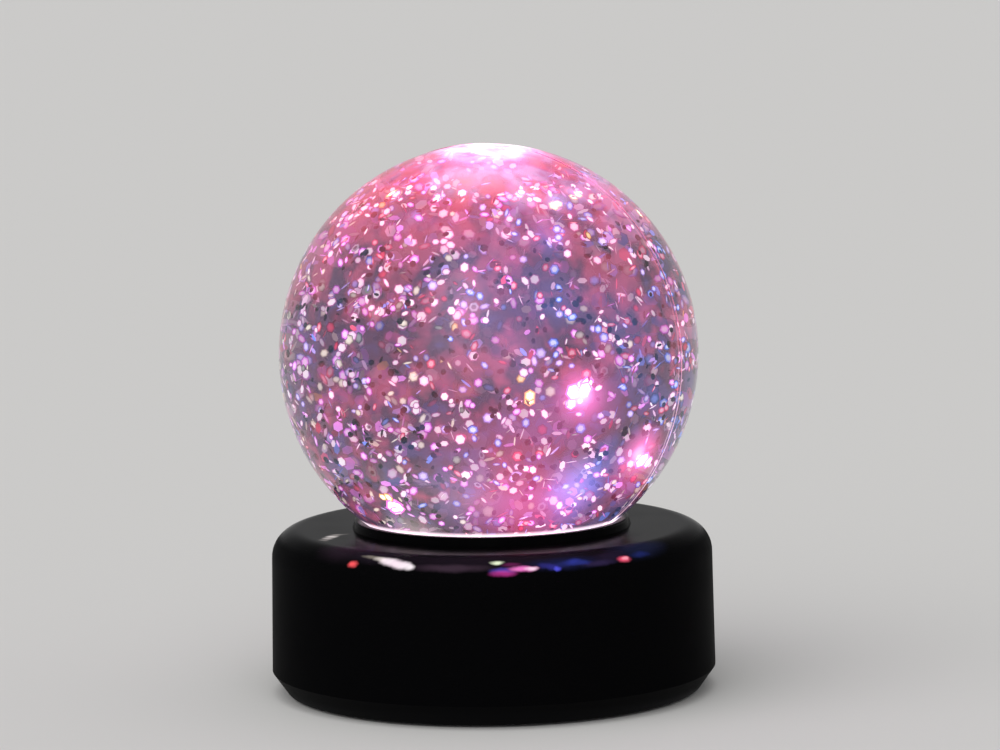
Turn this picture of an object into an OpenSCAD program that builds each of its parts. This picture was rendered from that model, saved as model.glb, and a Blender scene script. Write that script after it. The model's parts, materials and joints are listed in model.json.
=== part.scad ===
// Light-up glitter ball: a clear liquid-filled globe on a round battery base.
// A motor under the globe turns a magnet carrier, which drags an impeller inside the globe.
// Millimetres, +Z up, origin on the table under the middle of the base, front is -Y.

/* [Globe] */
// Outside diameter of the ball
globe_d = 120; // [112:0.5:126]
// Wall of the ball and its neck
globe_wall = 2; // [1.4:0.1:2.6]
// Outside diameter of the neck
neck_d = 68; // [66:0.5:71]
// Length of the neck below the top face of the base
neck_len = 8; // [7:0.1:8.4]
// Width of the moulding seam
seam_w = 0.8; // [0.4:0.1:1.4]
// Height of the moulding seam above the ball
seam_h = 0.2; // [0.1:0.05:0.4]
// Turn of the seam about the upright axis, in degrees
seam_turn = -26; // [-60:1:-5]

/* [Base housing] */
// Widest diameter of the base, at its parting line
base_d = 127.6; // [126.4:0.2:136]
// Height of the top face above the table
base_h = 47.4; // [46.5:0.1:50]
// Wall of the housing
shell_wall = 2.5; // [2:0.1:3]
// Draft of the side, in degrees
side_draft = 1; // [0.2:0.1:1.5]
// Radius of the rounded top edge
top_round = 7.9; // [5:0.1:9]
// Width of the bevel at the bottom edge
bevel_w = 4.2; // [3.4:0.1:5.6]
// Height of the bevel at the bottom edge
bevel_h = 5.9; // [4:0.1:6.4]

/* [Collar ring] */
// Outside diameter of the collar
collar_d = 80; // [79:0.2:84]
// Height of the collar above the top face
collar_h = 2.3; // [1.6:0.1:2.6]
// Lean of the collar's outside
collar_taper = 0.6; // [0.2:0.1:0.9]
// Width of the collar's skirt in the housing
skirt_w = 2.8; // [2:0.1:3.2]

/* [Globe plug] */
// Diameter of the plug's flange
flange_d = 94; // [92:0.5:96]
// Thickness of the flange
flange_t = 2.6; // [2:0.1:3]
// Height of the spigot inside the neck
spigot_h = 4.6; // [4.4:0.1:5]
// Wall of the spigot
spigot_wall = 3.8; // [3.2:0.1:4]
// Thickness of the clear window
window_t = 2; // [1.6:0.1:2.2]
// Section of the neck seal's groove
seal_d = 2; // [1.6:0.1:2.2]

/* [Stirrer] */
// Diameter of the impeller
impeller_d = 30; // [26:0.5:32]
// Thickness of the impeller's disc
impeller_t = 3; // [2.8:0.1:3.4]
// Height of the vanes above the disc
vane_h = 3.6; // [2:0.1:4]
// Thickness of a vane
vane_t = 1.4; // [1:0.1:1.8]
// Number of vanes
vane_count = 5; // [4:1:6]
// Diameter of the impeller's pin
pin_d = 2; // [1.6:0.1:2.4]
// Diameter of a magnet
magnet_d = 8; // [6:0.1:8.2]
// Height of a magnet
magnet_h = 2.4; // [1.8:0.1:2.4]
// Distance of a magnet from the axis
magnet_reach = 9.6; // [9:0.1:9.8]
// Thickness of the magnet carrier
carrier_t = 3.4; // [3:0.1:3.6]

/* [Motor and plate] */
// Diameter of the motor
motor_d = 24.4; // [22:0.2:26]
// Room under the motor for its terminals and wires
motor_room = 3.3; // [2.4:0.1:4.6]
// Diameter of the motor's shaft
shaft_d = 2; // [1.5:0.1:2.2]
// Thickness of the motor plate
plate_t = 2; // [1.8:0.1:2.2]
// Depth of the socket round the motor
socket_h = 8; // [5:0.5:9]

/* [Board and lamps] */
// Thickness of the board
board_t = 1.6; // [1:0.1:1.7]
// Width of a lamp
lamp_w = 5; // [3.5:0.1:5.4]
// Height of a lamp
lamp_h = 1.6; // [1:0.1:1.7]

/* [Battery box] */
// Diameter of a cell
cell_d = 14.2; // [13.8:0.1:14.3]
// Length of a cell with its nub
cell_len = 50.5; // [49.5:0.1:50.8]
// Wall of the battery box
box_wall = 1.6; // [1.4:0.1:2]
// Thickness of the battery door
door_t = 2; // [1.8:0.1:2.2]
// Thickness of the bottom cover's floor
floor_t = 3.2; // [3:0.1:3.6]
// Radius of the wire of a contact spring
spring_wire_r = 0.35; // [0.25:0.05:0.4]
// Number of curls of a contact spring
spring_curls = 4; // [3:1:4]

/* [Switch] */
// Height of the switch above the table
switch_z = 22; // [20:0.5:26]
// Length of the switch recess
recess_w = 20; // [18:0.5:22]
// Height of the switch recess
recess_h = 9; // [8:0.5:11]
// Width of the knob
knob_w = 9; // [7:0.5:9.5]
// Travel of the knob
knob_travel = 4; // [3:0.5:4]

/* [Feet and screws] */
// Diameter of a foot
foot_d = 10; // [8:0.5:11]
// Height of a foot below the bottom cover
foot_h = 0.8; // [0.6:0.1:1.4]
// Diameter of the larger screws
screw_d = 2.9; // [2.5:0.1:3.1]
// Diameter of a larger screw's head
head_d = 5.6; // [5:0.1:5.8]

/* [Glitter] */
// Width of a flake across its corners
flake_w = 2.6; // [1.6:0.1:3]
// Thickness of a flake
flake_t = 0.2; // [0.1:0.05:0.3]
// Spacing of the flakes
flake_step = 13; // [12.5:0.5:18]

/* [Wires] */
// Radius of a wire
wire_r = 0.7; // [0.5:0.05:0.75]

/* [Hidden] */
$fn = 96;
cut = 1;
fit = 0.3;
snug = 0.1;
thread_gap = 0.02;
run_gap = 0.05;

globe_r = globe_d / 2;
neck_r = neck_d / 2;
bore_r = neck_r - globe_wall;
base_r = base_d / 2;

z_under = foot_h;
z_split = z_under + bevel_h;
z_floor = z_under + floor_t;
z_top = base_h;
z_ceiling = z_top - shell_wall;
z_globe = z_top + sqrt(globe_r * globe_r - neck_r * neck_r);
z_neck = z_top - neck_len;
z_flange = z_neck - flange_t;
z_mount = z_flange - plate_t;
z_window = z_neck + spigot_h;
z_window_under = z_window - window_t;
z_collar = z_top + collar_h;

round_z = z_top - top_round;
round_bite = 0.005;
round_r = base_r - (top_round + sin(side_draft) * (round_z - z_split)) / cos(side_draft);

collar_r = collar_d / 2;
collar_edge = 0.6;
skirt_r = neck_r + fit + skirt_w;

spigot_r = bore_r - snug;
cup_r = spigot_r - spigot_wall;
seal_proud = 0.3;
seal_floor_r = spigot_r - seal_d + seal_proud;
seal_z = z_neck + spigot_h * 0.45;

boss_r = 3.5;
boss_edge = 1.5;
boss_floor = 1.5;
boss_reach = flange_d / 2 - boss_r - boss_edge;
plug_screw_end = 2;
post_r = 3.6;
post_inset = 8.2;
post_reach = base_r - shell_wall - post_inset;
post_depth = 15;
post_grip = 13;
well_seat = 2.5;
post_rise = 3;
z_post = z_split + post_rise;
well_wall = 1.2;
well_r = head_d / 2 + fit + well_wall;
screw_r = screw_d / 2;
head_r = head_d / 2;
head_h = 2;
screw_turns = [45, 135, 225, 315];
boss_turns = [0, 90, 180, 270];

lip_r = base_r - shell_wall / cos(side_draft) - fit;
lip_t = 2.4;
lip_h = 3;
z_lip = z_split + lip_h;
seam_room = 2;

impeller_r = impeller_d / 2;
stir_gap = 0.6;
impeller_z = z_window + stir_gap;
pin_r = pin_d / 2;
pin_boss_r = 3.2;
pin_boss_h = 1.5;
hub_r = 4;
hub_proud = 0.5;
hub_len = impeller_t + vane_h + hub_proud;
hub_top = impeller_z + hub_len;
pin_proud = 1.5;
pin_top = hub_top + pin_proud;
pin_seat = 0.8;
pin_foot = z_window_under + pin_seat;
cap_gap = 0.3;
cap_r = 2.2;
magnet_r = magnet_d / 2;
vane_inset = 0.6;
vane_bow = impeller_r / 2 - vane_inset;
vane_from = 24;
vane_sweep = 138;
vane_sink = 0.4;
stir_r = impeller_r + stir_gap;
z_stir = pin_top + stir_gap;

carrier_top = z_window_under - stir_gap;
carrier_z = carrier_top - carrier_t;
carrier_hub_h = 1;
carrier_hub_z = carrier_z - carrier_hub_h;

cell_r = cell_d / 2;
cell_z = z_under + door_t + fit + cell_r;
z_roof = cell_z + cell_r + fit;

motor_r = motor_d / 2;
motor_z = z_roof + box_wall + motor_room;
motor_len = z_mount - motor_z;
bell_h = 2.5;
bell_step = 0.6;
shaft_r = shaft_d / 2;
shaft_tail = 0.8;
shaft_sink = 0.2;
shaft_z = motor_z - shaft_tail;
shaft_top = carrier_top - shaft_sink;
nose_r = 3;
nose_h = 0.8;
motor_screw_reach = 8.5;
motor_screw_r = 1;
motor_head_r = 1.9;
motor_head_h = 0.9;
motor_grip = 2;
motor_hole = 2.4;
plate_hole_gap = 1;
socket_wall = 1.8;
terminal_h = 1.4;
terminal_t = 0.6;
terminal_w = 2;
terminal_reach = 7;

board_hole_least = 15;
board_hole_gap = 1.5;
board_hole_r = max(impeller_r, board_hole_least) + board_hole_gap;
board_gap = 0.6;
board_r = cup_r - board_gap;
board_top = z_flange + board_t;
lamp_reach = (board_hole_r + board_r) / 2;
stake_r = 1.2;
stake_turns = [60, 300];
wire_turns = [0, 120, 180, 240];
stake_h = 0.8;
stake_flare = 0.8;
lamp_dish = 0.4;
chip_w = 4;
chip_l = 5;
chip_h = 1.4;

cell_gap = 1;
cell_step = cell_d + cell_gap;
nub_r = 2.75;
nub_h = 1.3;
contact_t = 0.5;
contact_side = 1;
contact_edge = 2;
spring_len = 5.8;
spring_wide_r = 4.6;
spring_narrow_r = 3;
box_x = (cell_len + spring_len) / 2 + contact_t;
box_y = 1.5 * cell_step;
tail_w = 2.4;
tail_proud = 2.2;
tail_len = box_wall + tail_proud;
tail_rise = 3.5;
tail_z = cell_z + tail_rise;
tail_end = box_x - contact_t / 2 + tail_len + run_gap;

door_x = box_x + box_wall - fit;
door_y = box_y + box_wall - fit;
door_round = 3;
tab_r = 5;
tab_out = 4;
tab_reach = door_y + tab_out;
rib_w = 2;
rib_h = 2;
door_boss_r = 3;
door_boss_h = 7;
door_boss_top = z_floor + door_boss_h;
door_boss_roof = 1;
door_screw_end = 2;
door_screw_r = 1.25;
door_head_r = 2.4;
door_head_h = 1.2;

pad_depth = 2.8;
pad_y = base_r - shell_wall - pad_depth;
recess_floor_t = 2.2;
recess_y = pad_y + recess_floor_t;
pad_w = 32;
pad_margin = 4;
pad_h = recess_h + 2 * pad_margin;
stem_w = 5;
stem_h = 4;
knob_gap = 0.3;
knob_margin = 1;
knob_h = recess_h - 2 * knob_margin;
knob_t = 1.6;
knob_round = 1.2;
stem_gap = 2;
knob_rest = knob_travel / 2;
slot_w = stem_w + knob_travel + 2 * fit;
slot_h = stem_h + 2 * fit;
frame_w = 19;
frame_h = 7.2;
frame_d = 6.4;
frame_back = 1.6;
ear_t = 0.8;
ear_reach = 12.5;
ear_margin = 2.5;
ear_screw_r = 1;
ear_head_r = 1.9;
ear_head_h = 1.2;
ear_grip = 2;
ear_hole = 2.4;
frame_y = pad_y - frame_d - run_gap;

wire_top = z_flange - run_gap;
wire_bend = 3;
wire_lead = 8;
wire_side = 4;
wire_drop = 6;
wire_rise = 4;

foot_r = foot_d / 2;
foot_inset = 3;
foot_reach = post_reach - foot_inset;
foot_seat = 1;

fill_gap = 0.1;
flake_shell_r = globe_r - globe_wall - flake_w;
flake_rows = floor(flake_shell_r / flake_step);
flake_jitter = (flake_step - flake_w) * 0.32;

// The node that is drawn

// Radius of the housing's side at height z, taken in by inset
function side_r(z, inset) = base_r - (z - z_split) * tan(side_draft) - inset / cos(side_draft);

// A point at distance r from the axis, turned by the angle a, at height z
function polar(r, a, z) = [r * cos(a), r * sin(a), z];

// A route with its corners cut by curves: each inner corner becomes a short arc of points
function bend(a, b, c, k) = (1 - k) * (1 - k) * a + 2 * k * (1 - k) * b + k * k * c;
function near(p, q, d) = p + (q - p) * min(0.5, d / norm(q - p));
function eased(route, d) = concat([route[0]],
  [for (i = [1 : len(route) - 2]) for (k = [0, 0.25, 0.5, 0.75, 1])
    bend(near(route[i], route[i - 1], d), route[i], near(route[i], route[i + 1], d), k)],
  [route[len(route) - 1]]);

// Sweep of a round section along a route of points
function heading(p, i) = let (q = p[min(i + 1, len(p) - 1)] - p[max(i - 1, 0)]) q / norm(q);
function carried(s, t) = let (q = s - (s * t) * t) q / norm(q);
function sides(p, i, s) = i == len(p) ? [] :
  let (u = carried(s, heading(p, i))) concat([u], sides(p, i + 1, u));
function start_side(t) = abs(t[2]) < 0.8 ? [0, 0, 1] : [1, 0, 0];

module sweep(p, r, n) {
  s = sides(p, 0, carried(start_side(heading(p, 0)), heading(p, 0)));
  last = len(p) - 1;
  rim = [for (i = [0 : last]) for (j = [0 : n - 1])
    p[i] + r * (cos(360 * j / n) * s[i] + sin(360 * j / n) * cross(heading(p, i), s[i]))];
  walls = [for (i = [0 : last - 1]) for (j = [0 : n - 1]) for (f = [0, 1])
    let (a = i * n + j, b = i * n + (j + 1) % n)
    f == 0 ? [a, a + n, b + n] : [a, b + n, b]];
  first_end = [for (j = [0 : n - 1]) j];
  last_end = [for (j = [n - 1 : -1 : 0]) last * n + j];
  polyhedron(points = rim, faces = concat([first_end], walls, [last_end]));
}

// Half section of the housing as a solid, taken in by inset, from the height low upwards
module housing_section(inset, low) {
  r = top_round - inset;
  polygon([[0, low], [side_r(low, inset), low],
    [round_r + r * cos(side_draft), round_z + r * sin(side_draft)],
    [round_r, z_top - inset], [0, z_top - inset]]);
  translate([round_r, round_z]) circle(r = r + round_bite);
}

module at_turns(turns, reach) {
  for (a = turns) rotate([0, 0, a]) translate([reach, 0, 0]) children();
}

// Rounded slot shape, w long and h high
module stadium(w, h) {
  square([w - h, h], center = true);
  for (s = [-1, 1]) translate([s * (w - h) / 2, 0]) circle(d = h);
}

// Rounded rectangle with half sizes x and y
module rounded_plate(x, y, r) {
  square([2 * (x - r), 2 * y], center = true);
  square([2 * x, 2 * (y - r)], center = true);
  for (sx = [-1, 1]) for (sy = [-1, 1]) translate([sx * (x - r), sy * (y - r)]) circle(r = r);
}

// Screw with a round head below z and a shank above it
module pan_screw(shank_r, length, cap_r, cap_h) {
  translate([0, 0, -cap_h]) difference() {
    cylinder(r = cap_r, h = cap_h);
    for (a = [0, 90]) rotate([0, 0, a])
      translate([0, 0, cap_h * 0.25]) cube([cap_r * 1.1, cap_r * 0.28, cap_h * 0.6], center = true);
  }
  cylinder(r = shank_r, h = length);
}

// Screw with a sunk head that is flush at z = 0 and a shank above it
module sunk_screw(shank_r, length, cap_r, cap_h) {
  difference() {
    cylinder(r1 = cap_r, r2 = shank_r, h = cap_h);
    for (a = [0, 90]) rotate([0, 0, a]) cube([cap_r, cap_r * 0.28, cap_h * 0.9], center = true);
  }
  translate([0, 0, cap_h]) cylinder(r = shank_r, h = length - cap_h);
}

module globe_section() {
  intersection() {
    translate([0, z_neck]) square([globe_r + cut, 2 * globe_r + neck_len + cut]);
    difference() {
      union() {
        translate([0, z_globe]) circle(r = globe_r);
        translate([0, z_neck]) square([neck_r, z_globe - z_neck]);
      }
      translate([0, z_globe]) circle(r = globe_r - globe_wall);
      translate([0, z_neck - cut]) square([bore_r, z_globe - z_neck]);
    }
  }
}

module globe() {
  color([0.93, 0.86, 0.92, 0.35]) union() {
    rotate_extrude() globe_section();
    intersection() {
      translate([0, 0, z_globe]) difference() {
        sphere(r = globe_r + seam_h);
        sphere(r = globe_r - globe_wall / 2);
      }
      translate([0, 0, z_collar + fit + globe_r]) rotate([0, 0, seam_turn])
        cube([2 * (globe_r + seam_room), seam_w, 2 * globe_r], center = true);
    }
  }
}

module liquid() {
  color([0.80, 0.55, 0.72, 0.5]) rotate_extrude() difference() {
    union() {
      intersection() {
        translate([0, z_globe]) circle(r = globe_r - globe_wall - fill_gap);
        translate([0, z_window + fill_gap]) square([globe_r, 2 * globe_r]);
      }
      translate([0, z_window + fill_gap]) square([bore_r - fill_gap, z_globe - z_window]);
    }
    translate([0, z_window]) square([stir_r, z_stir - z_window]);
  }
}

module flake(p, seed) {
  turn = rands(0, 360, 3, seed);
  translate(p) rotate(turn) cylinder(d = flake_w, h = flake_t, center = true, $fn = 6);
}

module glitter() {
  rows = [-flake_rows : flake_rows];
  color([0.95, 0.45, 0.70]) for (i = rows) for (j = rows) for (k = rows) {
    seed = (i + 20) * 1681 + (j + 20) * 41 + k + 20;
    push = rands(-flake_jitter, flake_jitter, 3, seed);
    p = flake_step * [i, j, k] + push;
    clear_of_stirrer = p[2] + z_globe > z_stir + flake_w || norm([p[0], p[1]]) > stir_r + flake_w;
    above_floor = p[2] + z_globe > z_top + flake_w;
    if (norm(p) < flake_shell_r && above_floor && clear_of_stirrer)
      flake([p[0], p[1], p[2] + z_globe], seed + 7);
  }
}

module collar_section() {
  difference() {
    union() {
      polygon([[0, z_top], [collar_r, z_top],
        [collar_r - collar_taper, z_collar - collar_edge],
        [collar_r - collar_taper - collar_edge, z_collar], [0, z_collar]]);
      translate([collar_r - collar_taper - collar_edge, z_collar - collar_edge])
        circle(r = collar_edge);
      translate([0, z_ceiling]) square([skirt_r, shell_wall + collar_h / 2]);
    }
    translate([0, z_globe]) circle(r = globe_r + fit);
    translate([0, z_ceiling - cut]) square([neck_r + fit, shell_wall + collar_h + 2 * cut]);
  }
}

module collar_ring() {
  color([0.07, 0.07, 0.08]) rotate_extrude() intersection() {
    collar_section();
    square([base_r, z_globe]);
  }
}

module housing() {
  color([0.05, 0.05, 0.06]) difference() {
    union() {
      rotate_extrude() difference() {
        housing_section(0, z_split);
        housing_section(shell_wall, z_split - cut);
        square([skirt_r + snug, z_top + cut]);
      }
      at_turns(screw_turns, post_reach)
        translate([0, 0, z_post]) cylinder(r = post_r, h = z_top - shell_wall / 2 - z_post);
      at_turns(boss_turns, boss_reach)
        translate([0, 0, z_neck]) cylinder(r = boss_r, h = z_top - shell_wall / 2 - z_neck);
      intersection() {
        translate([-pad_w / 2, pad_y, switch_z - pad_h / 2]) cube([pad_w, base_r, pad_h]);
        rotate_extrude() housing_section(shell_wall / 2, z_split);
      }
    }
    at_turns(screw_turns, post_reach)
      translate([0, 0, z_post - cut]) cylinder(r = screw_r + thread_gap, h = post_depth + cut);
    at_turns(boss_turns, boss_reach)
      translate([0, 0, z_neck - cut]) cylinder(r = screw_r + thread_gap, h = neck_len - boss_floor + cut);
    translate([0, recess_y, switch_z]) rotate([-90, 0, 0])
      linear_extrude(base_r) stadium(recess_w, recess_h);
    translate([0, pad_y, switch_z]) cube([slot_w, base_r / 4, slot_h], center = true);
    for (s = [-1, 1]) translate([s * ear_reach, pad_y - cut, switch_z]) rotate([-90, 0, 0])
      cylinder(r = ear_screw_r + thread_gap, h = ear_hole + cut);
  }
}

// Outline of the battery door, made larger by grow
module door_outline(grow) {
  rounded_plate(door_x + grow, door_y + grow, door_round);
  for (s = [-1, 1]) {
    translate([0, s * (door_y + tab_reach) / 2])
      square([2 * (tab_r + grow), tab_reach - door_y + door_round], center = true);
    translate([0, s * tab_reach]) circle(r = tab_r + grow);
  }
}

module bottom_cover() {
  color([0.06, 0.06, 0.07]) difference() {
    union() {
      rotate_extrude() polygon([[0, z_under], [base_r - bevel_w, z_under], [base_r, z_split],
        [lip_r, z_split], [lip_r, z_lip], [lip_r - lip_t, z_lip], [lip_r - lip_t, z_floor],
        [0, z_floor]]);
      translate([-box_x - box_wall, -box_y - box_wall, z_under + floor_t / 2])
        cube([2 * (box_x + box_wall), 2 * (box_y + box_wall), z_roof + box_wall - z_under - floor_t / 2]);
      at_turns(screw_turns, post_reach)
        translate([0, 0, z_under + floor_t / 2]) cylinder(r = well_r, h = z_post - z_under - floor_t / 2);
      for (s = [-1, 1]) translate([0, s * tab_reach, z_under + floor_t / 2])
        cylinder(r = door_boss_r, h = door_boss_top - z_under - floor_t / 2);
    }
    translate([-box_x, -box_y, z_under - cut]) cube([2 * box_x, 2 * box_y, z_roof - z_under + cut]);
    translate([0, 0, z_under - cut]) linear_extrude(door_t + snug + cut) door_outline(fit);
    for (s = [-1, 1]) translate([0, s * tab_reach, z_under])
      cylinder(r = door_screw_r + thread_gap, h = door_boss_top - z_under - door_boss_roof);
    at_turns(screw_turns, post_reach) translate([0, 0, z_under - cut]) {
      cylinder(r = head_r + fit, h = z_post - well_seat - z_under + cut);
      cylinder(r = screw_r + fit / 2, h = z_post - z_under + 2 * cut);
    }
    at_turns(boss_turns, foot_reach)
      translate([0, 0, z_under - cut]) cylinder(r = foot_r + snug, h = foot_seat + cut);
    for (s = [-1, 1]) translate([s * (box_x + box_wall / 2), s * cell_step, tail_z])
      cube([2 * box_wall, tail_w + fit, contact_t + fit], center = true);
  }
}

module globe_plug() {
  color([0.85, 0.90, 0.95, 0.45]) difference() {
    union() {
      rotate_extrude() difference() {
        union() {
          translate([0, z_flange]) square([flange_d / 2, flange_t]);
          translate([0, z_flange]) square([spigot_r, z_window - z_flange]);
          translate([0, z_window - cut]) square([pin_boss_r, pin_boss_h + cut]);
        }
        translate([0, z_flange - cut]) square([cup_r, z_window_under - z_flange + cut]);
        translate([seal_floor_r, seal_z - seal_d / 2]) square([seal_d, seal_d]);
      }
    }
    at_turns(boss_turns, boss_reach)
      translate([0, 0, z_flange - cut]) cylinder(r = screw_r + fit / 2, h = flange_t + 2 * cut);
    translate([0, 0, pin_foot])
      cylinder(r = pin_r + thread_gap, h = window_t + pin_boss_h);
  }
}

module neck_seal() {
  seal_r = (bore_r - seal_floor_r) / 2 - run_gap;
  color([0.12, 0.12, 0.12]) rotate_extrude()
    translate([(bore_r + seal_floor_r) / 2, seal_z]) circle(r = seal_r);
}

// Curved vane from the hub to near the rim, an arc about a point half way out
module vane() {
  translate([vane_bow, 0, impeller_t - vane_sink]) rotate([0, 0, vane_from])
    rotate_extrude(angle = vane_sweep)
      translate([vane_bow - vane_t / 2, 0]) square([vane_t, vane_h + vane_sink]);
}

module impeller() {
  color([0.92, 0.92, 0.94]) translate([0, 0, impeller_z]) difference() {
    union() {
      cylinder(r = impeller_r, h = impeller_t);
      cylinder(r = hub_r, h = hub_len);
      for (i = [0 : vane_count - 1]) rotate([0, 0, 360 * i / vane_count]) vane();
    }
    translate([0, 0, -cut]) cylinder(r = pin_boss_r + stir_gap, h = pin_boss_h - stir_gap + fit + cut);
    translate([0, 0, -cut]) cylinder(r = pin_r + run_gap, h = hub_len + 2 * cut);
    for (s = [-1, 1]) translate([s * magnet_reach, 0, -cut])
      cylinder(r = magnet_r + thread_gap, h = magnet_h + cut);
  }
}

module impeller_pin() {
  color([0.75, 0.76, 0.78]) translate([0, 0, pin_foot])
    cylinder(r = pin_r, h = pin_top - pin_foot);
}

module impeller_cap() {
  color([0.90, 0.90, 0.92]) translate([0, 0, hub_top + cap_gap]) difference() {
    cylinder(r = cap_r, h = pin_top - hub_top);
    translate([0, 0, -cut]) cylinder(r = pin_r + thread_gap, h = pin_top - hub_top - cap_gap + cut);
  }
}

module impeller_magnets() {
  color([0.70, 0.70, 0.72]) for (s = [-1, 1])
    translate([s * magnet_reach, 0, impeller_z]) cylinder(r = magnet_r, h = magnet_h);
}

module magnet_carrier() {
  color([0.85, 0.85, 0.82]) difference() {
    union() {
      translate([0, 0, carrier_z]) cylinder(r = impeller_r, h = carrier_t);
      translate([0, 0, carrier_hub_z]) cylinder(r = hub_r, h = carrier_top - carrier_hub_z);
    }
    translate([0, 0, carrier_hub_z - cut])
      cylinder(r = shaft_r + thread_gap, h = carrier_top - carrier_hub_z + 2 * cut);
    for (s = [-1, 1]) translate([s * magnet_reach, 0, carrier_top - magnet_h])
      cylinder(r = magnet_r + thread_gap, h = magnet_h + cut);
  }
}

module carrier_magnets() {
  color([0.70, 0.70, 0.72]) for (s = [-1, 1])
    translate([s * magnet_reach, 0, carrier_top - magnet_h]) cylinder(r = magnet_r, h = magnet_h);
}

module motor_shaft() {
  color([0.78, 0.79, 0.80]) translate([0, 0, shaft_z]) cylinder(r = shaft_r, h = shaft_top - shaft_z);
}

module motor_can() {
  color([0.72, 0.73, 0.75]) difference() {
    union() {
      translate([0, 0, motor_z + bell_h]) cylinder(r = motor_r, h = motor_len - bell_h);
      translate([0, 0, z_mount - cut]) cylinder(r = nose_r, h = nose_h + cut);
    }
    translate([0, 0, motor_z]) cylinder(r = shaft_r + run_gap, h = motor_len + nose_h + cut);
    for (s = [-1, 1]) translate([0, s * motor_screw_reach, z_mount - motor_hole])
      cylinder(r = motor_screw_r + thread_gap, h = motor_hole + cut);
  }
}

module motor_bell() {
  color([0.90, 0.89, 0.85]) difference() {
    translate([0, 0, motor_z]) cylinder(r = motor_r - bell_step, h = bell_h);
    translate([0, 0, motor_z - cut]) cylinder(r = shaft_r + run_gap, h = bell_h + 2 * cut);
  }
}

module motor_terminals() {
  color([0.80, 0.66, 0.35]) for (s = [-1, 1])
    translate([s * terminal_reach, 0, motor_z - terminal_h / 2])
      cube([terminal_t, terminal_w, terminal_h], center = true);
}

module motor_screws() {
  color([0.65, 0.66, 0.68]) for (s = [-1, 1]) translate([0, s * motor_screw_reach, z_flange])
    mirror([0, 0, 1]) sunk_screw(motor_screw_r, plate_t + motor_grip, motor_head_r, motor_head_h);
}

module motor_plate() {
  color([0.90, 0.90, 0.90]) difference() {
    union() {
      translate([0, 0, z_mount]) cylinder(r = flange_d / 2, h = plate_t);
      translate([0, 0, z_mount - socket_h]) difference() {
        cylinder(r = motor_r + snug + socket_wall, h = socket_h + plate_t / 2);
        translate([0, 0, -cut]) cylinder(r = motor_r + snug, h = socket_h + cut);
      }
      at_turns(stake_turns, lamp_reach) {
        translate([0, 0, z_flange - cut]) cylinder(r = stake_r, h = board_t + stake_h + cut);
        translate([0, 0, board_top]) cylinder(r1 = stake_r + stake_flare, r2 = stake_r, h = stake_h);
      }
    }
    translate([0, 0, z_mount - cut]) cylinder(r = hub_r + plate_hole_gap, h = plate_t + 2 * cut);
    at_turns(boss_turns, boss_reach)
      translate([0, 0, z_mount - cut]) cylinder(r = screw_r + fit / 2, h = plate_t + 2 * cut);
    for (s = [-1, 1]) translate([0, s * motor_screw_reach, z_mount - cut]) {
      cylinder(r = motor_screw_r + snug, h = plate_t + cut);
      translate([0, 0, cut + plate_t - motor_head_h])
        cylinder(r1 = motor_screw_r + snug, r2 = motor_head_r + snug, h = motor_head_h);
    }
    for (a = wire_turns) translate(polar(lamp_reach, a, z_mount - cut))
      cylinder(r = wire_r + fit, h = plate_t + 2 * cut);
  }
}

module plug_screws() {
  color([0.65, 0.66, 0.68]) at_turns(boss_turns, boss_reach) translate([0, 0, z_mount])
    pan_screw(screw_r, z_top - plug_screw_end - z_mount, head_r, head_h);
}

module board() {
  color([0.10, 0.35, 0.20]) difference() {
    translate([0, 0, z_flange]) cylinder(r = board_r, h = board_t);
    translate([0, 0, z_flange - cut]) cylinder(r = board_hole_r, h = board_t + 2 * cut);
    at_turns(stake_turns, lamp_reach)
      translate([0, 0, z_flange - cut]) cylinder(r = stake_r + snug, h = board_t + 2 * cut);
  }
}

module lamp(turn) {
  rotate([0, 0, turn]) translate([lamp_reach, 0, board_top]) difference() {
    translate([-lamp_w / 2, -lamp_w / 2, 0]) cube([lamp_w, lamp_w, lamp_h]);
    translate([0, 0, lamp_h - lamp_dish])
      cylinder(r1 = lamp_w * 0.3, r2 = lamp_w * 0.4, h = lamp_dish);
  }
}

module red_lamps() {
  color([0.90, 0.15, 0.15]) for (a = [30, 210]) lamp(a);
}

module green_lamps() {
  color([0.15, 0.80, 0.25]) for (a = [90, 270]) lamp(a);
}

module blue_lamps() {
  color([0.15, 0.25, 0.95]) for (a = [150, 330]) lamp(a);
}

module control_chip() {
  color([0.10, 0.10, 0.11]) translate([lamp_reach - chip_w / 2, -chip_l / 2, board_top])
    cube([chip_w, chip_l, chip_h]);
}

module switch_frame() {
  color([0.75, 0.75, 0.76]) translate([0, pad_y, switch_z]) difference() {
    union() {
      translate([-frame_w / 2, -frame_d, -frame_h / 2]) cube([frame_w, frame_d, frame_h]);
      translate([-ear_reach - ear_margin, -ear_t, -frame_h / 2])
        cube([2 * (ear_reach + ear_margin), ear_t, frame_h]);
    }
    cube([slot_w, 2 * (frame_d - frame_back), slot_h], center = true);
    for (s = [-1, 1]) translate([s * ear_reach, -ear_t - cut, 0]) rotate([-90, 0, 0])
      cylinder(r = ear_screw_r + snug, h = ear_t + 2 * cut);
  }
}

module switch_knob() {
  cap_y = recess_y + knob_gap;
  color([0.08, 0.08, 0.09]) translate([knob_rest, 0, switch_z]) {
    translate([-stem_w / 2, pad_y - frame_d + stem_gap, -stem_h / 2])
      cube([stem_w, cap_y - pad_y + frame_d - stem_gap + knob_t / 2, stem_h]);
    difference() {
      translate([0, cap_y, 0]) rotate([-90, 0, 0]) linear_extrude(knob_t)
        rounded_plate(knob_w / 2, knob_h / 2, knob_round);
      for (i = [-1 : 1]) translate([i * knob_w / 4, cap_y + knob_t, 0])
        cube([knob_w / 9, knob_t * 0.7, knob_h + cut], center = true);
    }
  }
}

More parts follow.
